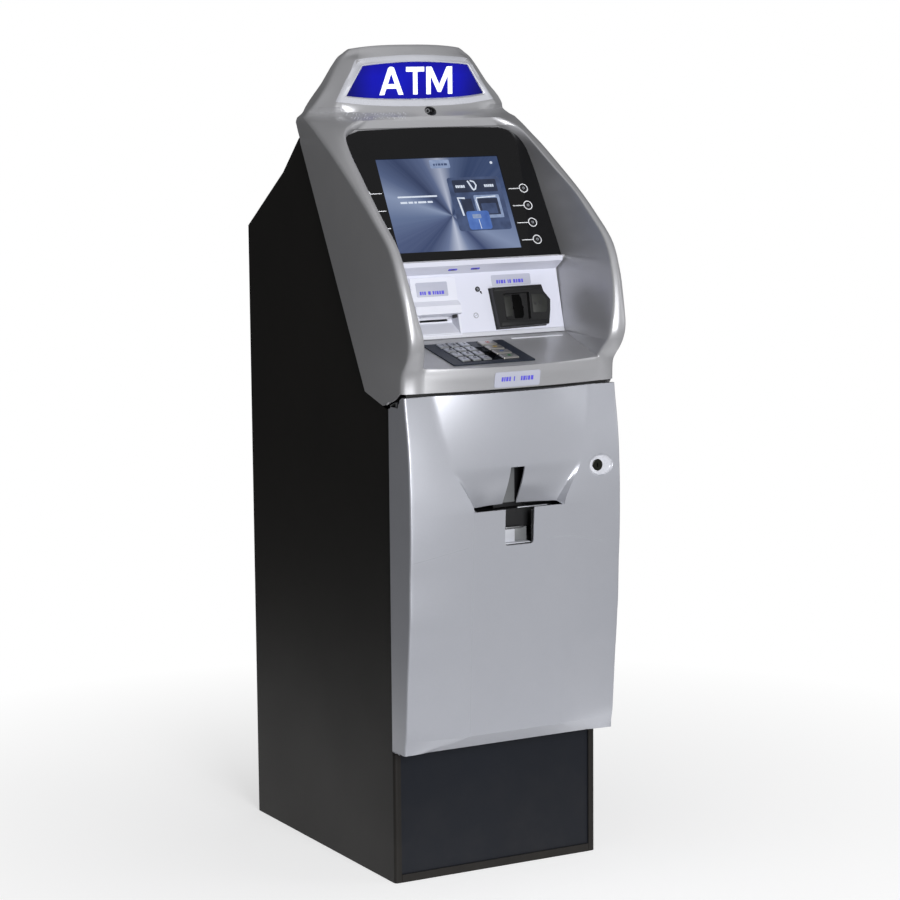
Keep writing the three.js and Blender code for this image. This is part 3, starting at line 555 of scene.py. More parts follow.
def band_and_side(corner, zc):
    """From the recess corner over the inner and outer creases to the cabinet edge."""
    pi, po = crease_row(zc)
    yb = back_y(zc)
    mid = ((pi[0] + po[0]) / 2, (pi[1] + po[1]) / 2 - 2.0, zc)
    x_back = 206.5 if zc > 1250 else 208.0
    bulge = pchip([[815, 0.0], [900, 1.5], [1000, 2.0], [1100, 1.4], [1200, 0.4], [1288, 0.0]], 1, zc)
    side_end = (x_back, max(yb, po[1] + 2), zc)
    side_mid = ((po[0] + x_back) / 2 + bulge, (po[1] + side_end[1]) / 2, zc)
    ri = 5.0
    ro = pchip([[846, 7], [900, 9], [1000, 10], [1288, 10]], 1, zc)
    line = rounded([corner, pi, mid, po, side_mid], {1: ri, 2: 0.0, 3: ro}, NR)
    # line: corner | NR (inner) | NR copies at mid | NR (outer) | side_mid
    inner = line[1 : 1 + NR]
    outer = line[1 + 2 * NR : 1 + 3 * NR]
    wall = spread([corner, inner[0]], NW + 1)[1:-1]
    band = []
    a, b = Vector(inner[-1]), Vector(outer[0])
    for k in range(1, NB):
        t = k / NB
        q = a.lerp(b, t)
        q.y -= 1.7 * math.sin(math.pi * t)
        band.append(tuple(q))
    side = []
    s0 = Vector(outer[-1])
    for k in range(1, NS + 1):
        t = k / NS
        q = s0.lerp(Vector(side_end), t)
        q.x += bulge * math.sin(math.pi * t)
        if q.z < 846:
            q.z = max(q.z, seam_z(q.y))
        side.append(tuple(q))
    return wall + inner + band + outer + side


def row_lip(z):
    """Lip below the shelf; everything left of the side is flattened on to the bottom edge."""
    zz = max(z, 846)
    xi, yi = pchip(WING, 1, zz), pchip(WING, 2, zz)
    top = shelf_z(-79)
    depth = pchip([[846, 74.6], [858, 76.5], [870, 78.6], [884, 79.0]], 1, zz)
    pts = []
    xc = xi - 5
    for k in range(NF + 1):
        x = xc * k / NF
        pts.append((x, lip_y(x, xi, yi, -depth), zz))
    corner = pts[-1]
    rest = band_and_side(corner, zz)
    if z < 846:
        lo = band_and_side(corner, z)
        cut_at = len(rest) - NS
        rest = rest[:cut_at] + lo[cut_at:]
    return pts + rest


def row_shelf(s):
    """s = 0 at the lip's top edge, 1 at the back of the shelf."""
    pts = []
    zc = 886.0 + (917 - 886.0) * s
    xb = float(np.interp(s, [0, 0.06, 0.3, 1], [163, 166.5, 175, 190.2]))
    for k in range(NF + 1):
        x = xb * k / NF
        y0 = lip_y(x, 168, -61, -79)
        y = y0 + (80 - y0) * s
        pts.append((x, y, shelf_z(y) - (0.8 if s < 0.004 else 0)))
    return pts + band_and_side(pts[-1], zc)


def row_up(z):
    xb, yb = pchip(RECESS, 1, z), floor_y(z)
    pts = [(xb * k / NF, yb, z) for k in range(NF + 1)]
    return pts + band_and_side(pts[-1], z)


def topper_pts(z):
    cols = []
    for k in range(8):
        tx = [[r[0], r[1 + k][0]] for r in TOPPER]
        ty = [[r[0], r[1 + k][1]] for r in TOPPER]
        cols.append((pchip(tx, 1, z), pchip(ty, 1, z), z))
    return cols


def row_top(z):
    c = topper_pts(z)
    front = rounded([c[0], c[1], c[2], c[3], c[4]], {1: 18, 2: 18, 3: 12}, 5)
    front = spread(front, NF + NW + 1)
    # first NF + 1 + (NW - 1) columns reach point 4 (the corner of the sign surround)
    edge = rounded([front[-2], c[4], c[5], c[6], c[7]], {1: 4, 2: 6, 3: 5}, NR)
    inner = edge[1 : 1 + NR]
    midr = edge[1 + NR : 1 + 2 * NR]
    outer = edge[1 + 2 * NR : 1 + 3 * NR]
    band = spread([inner[-1], *midr, outer[0]], NB + 1)[1:-1]
    side = spread([outer[-1], c[7]], NS + 1)[1:]
    return front[: NF + 1] + front[NF + 1 : NF + NW] + inner + band + outer + side


def build_hood():
    rows = [row_lip(z) for z in (821.2, 826, 832, 838.6, 842, 846)]
    rows += [row_lip(z) for z in np.linspace(848, 882.2, 9)]
    rows += [row_shelf(s) for s in (0.0, 0.004, 0.012, 0.03, 0.08, 0.16, 0.28, 0.4, 0.52, 0.64, 0.76, 0.88, 0.97, 1.0)]
    rows += [row_up(z) for z in (917.6, 921, 928, 935, 943, 951, 960, 970, 980, 990, 1000, 1012, 1025, 1034, 1043.9, 1049.8, 1050.3, 1058, 1067, 1076, 1085, 1094, 1103, 1112, 1121, 1130, 1140, 1150, 1160, 1170, 1180, 1190, 1200, 1210, 1220, 1228, 1236, 1243, 1249, 1254, 1259, 1263, 1267, 1270, 1272.4, 1275, 1279, 1283, 1286.5)]
    n_low = len(rows)
    rows += [row_top(z) for z in (1291, 1294, 1297, 1300, 1304, 1309, 1315, 1322, 1331, 1340, 1350, 1362, 1375, 1382, 1389, 1394, 1399, 1403, 1407, 1410, 1412, 1413.6, 1414.6)]
    ncol = len(rows[0])
    assert all(len(r) == ncol for r in rows), [len(r) for r in rows]
    verts, faces = [], []
    for r in rows:
        verts += r
    for i in range(len(rows) - 1):
        for j in range(ncol - 1):
            a = i * ncol + j
            faces.append((a, a + 1, a + 1 + ncol, a + ncol))
    # rear wall from the side's last column to the middle, above the cabinet's peak
    start = min(k for k, r in enumerate(rows) if r[-1][2] >= 1262)
    prev = None
    nr = 10
    for i in range(start, len(rows)):
        e = rows[i][-1]
        base = len(verts)
        for k in range(nr + 1):
            t = k / nr
            verts.append((e[0] * (1 - t), e[1] + 1.2 * math.sin(math.pi * t / 2) * 0, e[2]))
        if prev is not None:
            for k in range(nr):
                faces.append((prev + k, prev + k + 1, base + k + 1, base + k))
        prev = base
    # top cap
    top = rows[-1]
    last = prev
    cap = [(len(rows) - 1) * ncol + j for j in range(ncol)] + [last + k for k in range(1, nr + 1)]
    faces.append(tuple(cap))
    arched = []
    for x, y, z in verts:  # the crown falls away gently towards its corners
        t = min(1.0, max(0.0, (z - 1386) / 26))
        arched.append((x, y, z - 7.0 * min(1.0, abs(x) / 112) ** 2.4 * t * t * (3 - 2 * t)))
    verts = arched
    o = obj_from("hood_moulding", verts, faces, [SILVER_HOOD_SHADED])
    clean(o)
    m = o.modifiers.new("mirror", "MIRROR")
    m.use_axis = (True, False, False)
    m.merge_threshold = 0.00005
    m.use_clip = True
    bake(o)
    bm = bmesh.new()
    bm.from_mesh(o.data)
    bmesh.ops.remove_doubles(bm, verts=bm.verts, dist=3e-5)
    bmesh.ops.recalc_face_normals(bm, faces=bm.faces)
    # outwards means away from the body: the side's normal points to +x at the right
    f = max(bm.faces, key=lambda q: q.calc_center_median().x)
    if f.normal.x < 0:
        bmesh.ops.reverse_faces(bm, faces=bm.faces)
    bm.to_mesh(o.data)
    bm.free()
    m = o.modifiers.new("wall", "SOLIDIFY")
    m.thickness = 0.0034
    m.offset = -1.0
    m.use_even_offset = False
    m.thickness_clamp = 1.0
    bake(o)
    return o


LENS = [(-136.7, 1327.6), (-118, 1325.4), (-100, 1323.6), (-75, 1322.1), (-50, 1321.2), (-25, 1320.8), (0, 1320.6), (25, 1320.8), (50, 1321.2), (75, 1322.1), (100, 1323.6), (118, 1325.4), (136.7, 1327.6),
        (104.5, 1378.5), (90, 1380.4), (60, 1382.6), (30, 1384.4), (0, 1385), (-30, 1384.4), (-60, 1382.6), (-90, 1380.4), (-104.5, 1378.5)]


def grow(outline, d, cx=0.0, cz=1352.0):
    """Outline moved out by about d."""
    n = len(outline)
    out = []
    for i in range(n):
        a, b, c = outline[i - 1], outline[i], outline[(i + 1) % n]
        n1 = Vector((b[1] - a[1], a[0] - b[0])).normalized()
        n2 = Vector((c[1] - b[1], b[0] - c[0])).normalized()
        m = (n1 + n2)
        m.normalize()
        k = max(0.5, m.dot(n1))
        out.append((b[0] + m.x * d / k, b[1] + m.y * d / k))
    return out


hood = build_hood()
cut(hood, cutter(grow(LENS, 0.6), WORLD, 215, 290))
cut(hood, cutter(round_rect(-172, 172, 12, 232, 3), SCREEN, 3, 60))
cut(hood, cutter(round_rect(-118, 180, 8, 100, 3), PANEL, 2, 60))
cut(hood, cutter(round_rect(-106.5, 43, 22.6, 128, 2), SHELF, -15, 40))
cut(hood, cutter(circle(8, 1300, 10.6, 32, 7.2), WORLD, 200, 262))
lock_hole = extrude("tool_lock", circle(0, 0, 8.6, 32), Matrix.Translation((205, 132, 1000)) @ Matrix.Rotation(math.radians(90), 4, "Z"), -14, 14, None, bev=0, body=None)
cut(hood, lock_hole)
for v in hood.data.vertices:
    v.co.y = max(v.co.y, CAD_BOX[0][1])
smooth(hood, 32)
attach(hood, "hood")
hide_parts("hood_shell")

# ------------------------------------------------------------------------------------------------ front door
SIDE_Y = [[234, -50], [245, -49.6], [264, -53], [300, -56], [336, -59], [372, -62], [408, -66], [444, -69], [468, -71.4], [533, -73.4], [574, -76], [620, -77.2], [660, -77.2], [707, -75.6], [740, -73.6], [776, -69.4], [793, -66.6], [810, -63.4], [840, -59]]
SCOOP = [
    [647, 88, -85.3, -48, -67], [652, 89.5, -85.2, -51, -68.8], [660, 93.5, -84.8, -55.6, -71.4], [670, 99, -84, -61.2, -74.4], [684, 107, -82.9, -68.4, -77.6], [700, 117, -81.2, -75, -79.2],
    [713, 124, -79.8, -78.6, -79.6], [735, 134, -77.4, -79, -77.4], [759, 142, -74, -78.8, -74], [790, 150, -68.2, -77.6, -68.4], [815, 154.6, -63, -76.2, -63], [841, 158, -57, -75, -57],
]
CAP = [[-120, 840], [-51, 840], [-36, 831], [-4, 817], [10, 811]]
DF, DK, DC, DS = 34, 18, 7, 10  # columns: scoop or facet, flank, corner rounding, side


def cap_z(y):
    return float(np.interp(y, [r[0] for r in CAP], [r[1] for r in CAP]))


def door_row(z, kind=None):
    ys = pchip(SIDE_Y, 1, z)
    if kind == "scoop" or (kind is None and z > 645):
        xe, ye = pchip(SCOOP, 1, z), pchip(SCOOP, 2, z)
        yc, yw = pchip(SCOOP, 3, z), pchip(SCOOP, 4, z)
        front = []
        deep = min(1.0, max(0.0, (735 - z) / 60))
        for k in range(DF + 1):
            u = k / DF
            x = xe * u
            t = min(1.0, u / 0.95)
            flat = t ** (2.0 + 0.35 * deep)
            y = yc + (yw - yc) * flat
            if u > 0.95:
                y = yw + (ye - yw) * (u - 0.95) / 0.05
            front.append((x, y, z))
        crease = 2.0
    else:
        yc = -85.3 + (643.6 - max(z, 257.3)) * 20.3 / 386.3
        if z < 257.3:
            yc += (257.3 - z) * 0.95
        xe = 88.5 if z > 257 else 88.5 + (257 - z) * 2.9
        front = [(xe * k / DF, yc, z) for k in range(DF + 1)]
        ye = yc
        crease = 1.2
    if z < 262:
        ys = ys + (262 - z) * 0.05
    flank_end = (DOOR_X - 3.4, ys, z)
    bow = 1.2 if z < 700 else 1.2 * max(0.3, (860 - z) / 160)
    flank = []
    a, b = Vector((xe, ye, z)), Vector(flank_end)
    for k in range(1, DK + 1):
        t = k / DK
        q = a.lerp(b, t)
        q.y -= bow * math.sin(math.pi * t) ** 0.9
        flank.append(tuple(q))
    corner = []
    c0, c1, c2 = Vector(flank[-1]), Vector((DOOR_X, ys + 0.3, z)), Vector((DOOR_X, ys + 4.6, z))
    for k in range(1, DC + 1):
        t = k / DC
        corner.append(tuple(c0 * (1 - t) ** 2 + c1 * 2 * t * (1 - t) + c2 * t * t))
    side = [(DOOR_X, ys + 4.6 + (-4 - ys - 4.6) * k / DS, z) for k in range(1, DS + 1)]
    row = front + flank + corner + side
    return [(x, y, min(zz, cap_z(y))) for x, y, zz in row]


DOOR_X = 205.0


def build_door():
    base = door_row(234.0)
    rows = [[(x, min(-4.0, y + (-4.0 - y) * t), z) for x, y, z in base] for t in (1.0, 0.6, 0.2, 0.04)]
    rows += [door_row(z) for z in (234, 234.8, 240, 248, 255.6, 257.3, 259.4, 264)]
    rows += [door_row(z) for z in np.linspace(276, 640, 46)]
    rows += [door_row(z) for z in (642.4, 643.4)]
    ledge = len(rows)
    rows += [door_row(647.0, "scoop")]
    rows += [door_row(z) for z in (648.2, 650, 653, 657, 662, 667, 673, 679, 685, 691, 697, 704, 711, 718, 726, 735, 744, 753, 762, 771, 780, 790, 800, 808, 815, 822, 828, 833, 837, 839.2, 840)]
    top = rows[-1]
    for yj in (-58, -51, -44, -36, -26, -16, -4.0):
        rows.append([(x, max(y, yj), cap_z(max(y, yj)) if y < yj else z) for x, y, z in top])
    ncol = len(rows[0])
    verts, faces = [], []
    for r in rows:
        verts += r
    for i in range(len(rows) - 1):
        for j in range(ncol - 1):
            if i == ledge - 1 and j < int(DF * 0.945):
                continue  # the money slot
            a = i * ncol + j
            faces.append((a, a + 1, a + 1 + ncol, a + ncol))
    verts = [(x, y, min(z, 821.3) if y > -39.5 and abs(x) > 194 else z) for x, y, z in verts]  # clears the hood when open
    o = obj_from("door_moulding", verts, faces, [SILVER])
    clean(o, 3e-5)
    m = o.modifiers.new("mirror", "MIRROR")
    m.use_axis = (True, False, False)
    m.merge_threshold = 0.00005
    m.use_clip = True
    bake(o)
    bm = bmesh.new()
    bm.from_mesh(o.data)
    bmesh.ops.remove_doubles(bm, verts=bm.verts, dist=3e-5)
    bmesh.ops.recalc_face_normals(bm, faces=bm.faces)
    f = min(bm.faces, key=lambda q: q.calc_center_median().y)
    if f.normal.y > 0:
        bmesh.ops.reverse_faces(bm, faces=bm.faces)
    bm.to_mesh(o.data)
    bm.free()
    m = o.modifiers.new("wall", "SOLIDIFY")
    m.thickness = 0.0030
    m.offset = -1.0
    m.use_even_offset = False
    m.thickness_clamp = 1.0
    bake(o)
    return o


LOCK = (158, 703)
door = build_door()
cut(door, cutter(round_rect(-28, 28, 581, 660, 6), WORLD, -95, -76))
lean = [(-13.5, 640), (13.5, 640), (13.5, 640.5), (13.5, 712), (12.3, 713), (-12.3, 713), (-13.5, 712)]
cut(door, cutter(lean, WORLD, -82, -30))
cut(door, cutter(circle(LOCK[0], LOCK[1], 9.4, 36), WORLD, -100, -40))
# shallow dish round the lock, sunk by moving the skin's points
bm = bmesh.new()
bm.from_mesh(door.data)
near = [f for f in bm.faces if abs(f.calc_center_median().x - 0.164) < 0.034 and abs(f.calc_center_median().z - 0.703) < 0.028]
bmesh.ops.subdivide_edges(bm, edges=list({e for f in near for e in f.edges}), cuts=3, use_grid_fill=True)
for v in bm.verts:
    x, y, z = v.co.x * 1000, v.co.y * 1000 + YC, v.co.z * 1000
    d = math.hypot((x - 164) / 25.0, (z - 703) / 18.0)
    if d < 1.0 and y < -60:
        t = min(1.0, (1.0 - d) / 0.16)
        v.co.y += 0.0034 * (t * t * (3 - 2 * t))
# the dish's front faces take the paler frame paint: a painted highlight in the lock's dish
door.data.materials.append(RIM_AND_HIGHLIGHT)
for f in bm.faces:
    q = f.calc_center_median()
    if math.hypot((q.x * 1000 - 164) / 24.0, (q.z * 1000 - 703) / 17.0) < 1.0 and q.y * 1000 + YC < -65 and f.normal.y < -0.3:
        f.material_index = 1
bm.to_mesh(door.data)
bm.free()
smooth(door, 30)


def fold_x(z):
    return pchip(SCOOP, 1, z) if z > 645 else (88.5 if z > 257 else 88.5 + (257 - z) * 2.9)


# the folds between the middle facet and its flanks, the scoop's edges and the lower chamfer stay crisp
bm = bmesh.new()
bm.from_mesh(door.data)
for e in bm.edges:
    a, b = (((v.co.x * 1000), v.co.y * 1000 + YC, v.co.z * 1000) for v in e.verts)
    if max(a[1], b[1]) > -44:
        continue
    along = abs(a[2] - b[2]) > 0.5 and all(abs(abs(p[0]) - fold_x(p[2])) < 0.5 for p in (a, b))
    wall = a[2] > 645 and b[2] > 645 and abs(a[2] - b[2]) > 0.5 and all(abs(abs(p[0]) - 0.95 * fold_x(p[2])) < 0.8 for p in (a, b)) and min(a[2], b[2]) < 735
    low = abs(a[2] - b[2]) < 0.2 and abs(a[2] - 257.3) < 0.4
    if along or wall or low:
        e.smooth = False
bm.to_mesh(door.data)
bm.free()
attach(door, "door")
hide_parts("door_shell")

DOOR_LINES = {
    "left": [(-200.5, 566.0), (-180, 569.5), (-150, 575), (-120, 580.5), (-98, 584.0)],
    "right": [(60, 588), (92, 587.5), (120, 583.5), (150, 576.0), (170, 570.0)],
}
BROW_ICONS = (-23.6, 20.7)

# ------------------------------------------------------------------------------------------------ shared makers
BODY_OF = {n: o.parent.name for n, o in NODES.items()}
BODY_NAME = {e.name: b for b, e in frame["bodies"].items()}


def body_name(node):
    return BODY_NAME[BODY_OF[node]]


def made(node, material, width=0.6, segs=2, angle=25):
    o = refine(node, body_name(node), material, width, segs, angle)
    return o


def surf(obj, x, z, y_from=-300.0, miss=None):
    """Depth of a moulding's front skin at (x, z), in millimetres."""
    hit, loc, nor, idx = obj.ray_cast(P(x, y_from, z), Vector((0, 1, 0)))
    return loc.y * 1000 + YC if hit else miss


def ring_solid(name, loops, material, body, angle=30):
    """Closed ring through point loops of equal length; the last loop joins the first."""
    n = len(loops[0])
    verts = [p for lp in loops for p in lp]
    faces = []
    for k in range(len(loops)):
        k2 = (k + 1) % len(loops)
        for i in range(n):
            j = (i + 1) % n
            faces.append((k * n + i, k * n + j, k2 * n + j, k2 * n + i))
    o = obj_from(name, verts, faces, [material])
    bm = bmesh.new()
    bm.from_mesh(o.data)
    bmesh.ops.recalc_face_normals(bm, faces=bm.faces)
    bm.to_mesh(o.data)
    bm.free()
    smooth(o, angle)
    if body:
        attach(o, body)
    return o


def annulus(name, cx, cz, r0, r1, frame_m, y0, y1, material, body="hood", n=40, k=1.0):
    def loop(r, y):
        return [tuple(frame_m @ Vector((x, y, z))) for x, z in circle(cx, cz, r, n, r * k)]

    return ring_solid(name, [loop(r1, y1), loop(r1, y0), loop(r0, y0), loop(r0, y1)], material, body)


def skin_plate(name, outline, obj, lift, thick, material, body, nx=16, nz=5, y_from=-300.0):
    """Thin plate that follows the front skin of a moulding."""
    bm = bmesh.new()
    f = bm.faces.new([bm.verts.new(P(x, 0, z)) for x, z in outline])
    xs, zs = [p[0] for p in outline], [p[1] for p in outline]
    for i in range(1, nx):
        x = min(xs) + (max(xs) - min(xs)) * i / nx
        bmesh.ops.bisect_plane(bm, geom=bm.verts[:] + bm.edges[:] + bm.faces[:], plane_co=P(x, 0, 0), plane_no=(1, 0, 0))
    for i in range(1, nz):
        z = min(zs) + (max(zs) - min(zs)) * i / nz
        bmesh.ops.bisect_plane(bm, geom=bm.verts[:] + bm.edges[:] + bm.faces[:], plane_co=P(0, 0, z), plane_no=(0, 0, 1))
    last = None
    for v in bm.verts:
        y = surf(obj, v.co.x * 1000, v.co.z * 1000, y_from, last)
        last = y
        v.co.y = (y - lift - YC) / 1000
    me = bpy.data.meshes.new(name)
    bmesh.ops.recalc_face_normals(bm, faces=bm.faces)
    if sum(q.normal.y for q in bm.faces) > 0:
        bmesh.ops.reverse_faces(bm, faces=bm.faces)
    bm.to_mesh(me)
    bm.free()
    me.materials.append(material)
    o = link(bpy.data.objects.new(name, me))
    m = o.modifiers.new("wall", "SOLIDIFY")
    m.thickness = thick / 1000
    m.offset = -1.0
    bake(o)
    smooth(o, 30)
    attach(o, body)
    return o


def strip(pts, w):
    """Outline of a thin ribbon of width w along a polyline of (x, z)."""
    a, b = [], []
    for i, p in enumerate(pts):
        q0, q1 = Vector(pts[max(0, i - 1)]), Vector(pts[min(len(pts) - 1, i + 1)])
        d = (q1 - q0).normalized()
        n = Vector((-d.y, d.x)) * w / 2
        a.append((p[0] + n.x, p[1] + n.y))
        b.append((p[0] - n.x, p[1] - n.y))
    return a + b[::-1]


def glyph(name, s, size, frame_m, x, z, y, depth, material, body):
    """A raised digit in a slanted frame."""
    cu = bpy.data.curves.new(name + "_c", "FONT")
    cu.body = s
    cu.size = size / 1000
    cu.align_x = "CENTER"
    cu.align_y = "CENTER"
    cu.extrude = depth / 2000
    tmp = link(bpy.data.objects.new(name + "_t", cu))
    dg = bpy.context.evaluated_depsgraph_get()
    dg.update()
    me = bpy.data.meshes.new_from_object(tmp.evaluated_get(dg), depsgraph=dg)
    bpy.data.objects.remove(tmp)
    for v in me.vertices:
        v.co = P(*(frame_m @ Vector((x + v.co.x * 1000, y - v.co.z * 1000, z + v.co.y * 1000))))
    me.materials.clear()
    me.materials.append(material)
    o = link(bpy.data.objects.new(name, me))
    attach(o, body)
    return o


def bars(name, x0, z0, widths, h, gap, frame_m, y0, y1, material, body):
    """A row of small plain blocks, standing in for a printed line."""
    out, x = None, x0
    verts, faces = [], []
    for w in widths:
        if w > 0:
            for px, py, pz in ((x, y0, z0), (x + w, y0, z0), (x + w, y0, z0 + h), (x, y0, z0 + h), (x, y1, z0), (x + w, y1, z0), (x + w, y1, z0 + h), (x, y1, z0 + h)):
                verts.append(tuple(frame_m @ Vector((px, py, pz))))
            b = len(verts) - 8
            faces += [(b, b + 1, b + 2, b + 3), (b + 7, b + 6, b + 5, b + 4), (b, b + 4, b + 5, b + 1), (b + 1, b + 5, b + 6, b + 2), (b + 2, b + 6, b + 7, b + 3), (b + 3, b + 7, b + 4, b)]
        x += abs(w) + gap
    o = obj_from(name, verts, faces, [material])
    bm = bmesh.new()
    bm.from_mesh(o.data)
    bmesh.ops.recalc_face_normals(bm, faces=bm.faces)
    bm.to_mesh(o.data)
    bm.free()
    bevel(o, 0.06, 1, 30)
    if body:
        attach(o, body)
    return o


def glow(name, stops_fn, strength=1.0, rough=0.12, base=(0.01, 0.01, 0.012)):
    n = Nodes(name)
    n.link(n.mixc(n.noise(30, 3), base, tuple(v * 1.6 for v in base)), n.b.inputs["Base Color"])
    n.link(n.range(n.noise(18, 5, 0.65), rough, rough + 0.06, 0.35, 0.75), n.b.inputs["Roughness"])
    n.link(stops_fn(n), n.b.inputs["Emission Color"])
    n.set(Emission_Strength=strength, Coat_Weight=0.08, Coat_Roughness=0.03, Specular_IOR_Level=0.22)
    return n.m


def srgb(r, g, b):
    return tuple(((v / 255) / 12.92 if v / 255 <= 0.04045 else (((v / 255) + 0.055) / 1.055) ** 2.4) for v in (r, g, b))


# ------------------------------------------------------------------------------------------------ further finishes
def sign_field(n):
    s = n.node("SeparateXYZ")
    n.link(n.co, s.inputs[0])
    ax = n.math("ABSOLUTE", s.outputs[0])
    side = n.range(ax, 0.0, 1.0, 0.085, 0.135)
    up = n.range(s.outputs[2], 0.0, 1.0, 1.322, 1.385)
    body_c = n.ramp(up, [(0.0, srgb(7, 6, 150)), (0.3, srgb(9, 8, 180)), (0.62, srgb(10, 14, 196)), (1.0, srgb(12, 4, 150))])
    lobes = n.ramp(n.noise(17, 2, 0.4), [(0.35, srgb(10, 8, 168)), (0.7, srgb(12, 28, 200))])
    return n.mixc(side, n.mixc(0.45, body_c, lobes), srgb(6, 10, 92))


SIGN = glow("sign_blue_lens", sign_field, 0.9, 0.2, (0.002, 0.002, 0.02))
SIGN_WHITE = glow("sign_letter_white", lambda n: n.ramp(n.noise(40, 2), [(0.2, srgb(228, 240, 255)), (0.8, srgb(246, 251, 255))]), 1.0, 0.3, (0.4, 0.4, 0.42))
UI_WHITE = glow("display_white", lambda n: n.ramp(n.noise(300, 2), [(0.2, srgb(205, 215, 232)), (0.8, srgb(232, 240, 252))]), 0.95, 0.1)
UI_PALE = glow("display_pale", lambda n: n.ramp(n.noise(120, 2), [(0.2, srgb(120, 138, 172)), (0.8, srgb(150, 166, 198))]), 0.95, 0.1)
UI_DARK = glow("display_dark", lambda n: n.ramp(n.noise(60, 3), [(0.3, srgb(52, 66, 98)), (0.7, srgb(70, 86, 122))]), 0.95, 0.1)
UI_DEEP = glow("display_deep", lambda n: n.ramp(n.noise(60, 3), [(0.3, srgb(30, 38, 58)), (0.7, srgb(42, 52, 76))]), 0.95, 0.1)
UI_CARD = glow("display_card", lambda n: n.ramp(n.noise(50, 3), [(0.3, srgb(62, 96, 168)), (0.7, srgb(86, 122, 192))]), 0.95, 0.1)


def sheen_field(n):
    """Brushed radial sheen shown on the display, round a point a little below its middle."""
    t = math.radians(28.37)
    d = n.node("VectorMath", operation="DOT_PRODUCT")
    d.inputs[1].default_value = (0.0, math.sin(t), math.cos(t))
    n.link(n.co, d.inputs[0])
    y0 = ((100 - YC) * math.sin(t) + 1048 * math.cos(t) + 85.2) / 1000
    s = n.node("SeparateXYZ")
    n.link(n.co, s.inputs[0])
    xx = n.math("SUBTRACT", s.outputs[0], 0.001)
    zz = n.math("SUBTRACT", d.outputs["Value"], y0)
    ang = n.math("ADD", n.math("DIVIDE", n.math("ARCTAN2", zz, xx), 2 * math.pi), 0.5)
    ang.node.use_clamp = True
    stops = [
        (0.0, (105, 122, 158)), (0.056, (82, 96, 134)), (0.125, (60, 74, 112)), (0.19, (112, 126, 161)), (0.244, (202, 210, 230)), (0.29, (122, 137, 172)),
        (0.347, (58, 72, 112)), (0.417, (138, 153, 186)), (0.5, (95, 112, 150)), (0.583, (58, 76, 116)), (0.667, (40, 58, 96)), (0.715, (92, 108, 144)),
        (0.752, (196, 203, 223)), (0.795, (98, 112, 148)), (0.856, (44, 56, 90)), (0.903, (88, 103, 139)), (0.944, (146, 161, 192)), (1.0, (105, 122, 158)),
    ]
    col = n.ramp(ang, [(p, srgb(*c)) for p, c in stops])
    c = n.node("CombineXYZ")
    n.link(n.math("MULTIPLY", ang, 60.0), c.inputs[0])
    fine = n.noise(1.6, 3, 0.6, vec=c.outputs[0])
    hub = n.math("SQRT", n.math("ADD", n.math("MULTIPLY", xx, xx), n.math("MULTIPLY", zz, zz)))
    col = n.mixc(n.range(fine, 0.0, 0.12, 0.35, 0.7), col, srgb(140, 154, 186))
    top = n.range(zz, 0.0, 0.55, 0.02, 0.11)
    col = n.mixc(top, col, n.mixc(0.5, col, srgb(70, 88, 126)))
    return n.mixc(n.range(hub, 0.35, 0.0, 0.0, 0.012), col, srgb(52, 62, 92))


SCREEN_M = glow("display_glass", sheen_field, 0.82, 0.07, (0.003, 0.003, 0.004))
GLASS = gloss("camera_glass", (0.004, 0.004, 0.006), 0.03, 1.0)
INSERT = painted("reader_insert_plastic", (0.030, 0.031, 0.028), (0.022, 0.023, 0.021), 0.0, 0.46, grain=1300, bump=0.12, spec=0.3)
LOCKD = brushed("lock_face_dark", (0.075, 0.078, 0.064), 0.3, (30, 1, 1))
# grey print on keys and badge; also painted shade along the door's left fold
GREY_INK_AND_SHADE = painted("grey_ink_and_fold_shade", (0.36, 0.37, 0.40), (0.30, 0.31, 0.34), 0.0, 0.5, grain=1800, bump=0.02)
PLATE_LIGHT = painted("presenter_plate", (0.55, 0.56, 0.60), (0.48, 0.49, 0.53), 0.2, 0.4, grain=900, bump=0.05)
TRAY_GREY = painted("tray_grey", (0.16, 0.165, 0.17), (0.12, 0.125, 0.13), 0.1, 0.45, grain=900, bump=0.1)
KEY_PALE = brushed("function_key_metal", (0.62, 0.60, 0.57), 0.36, (40, 1, 1))

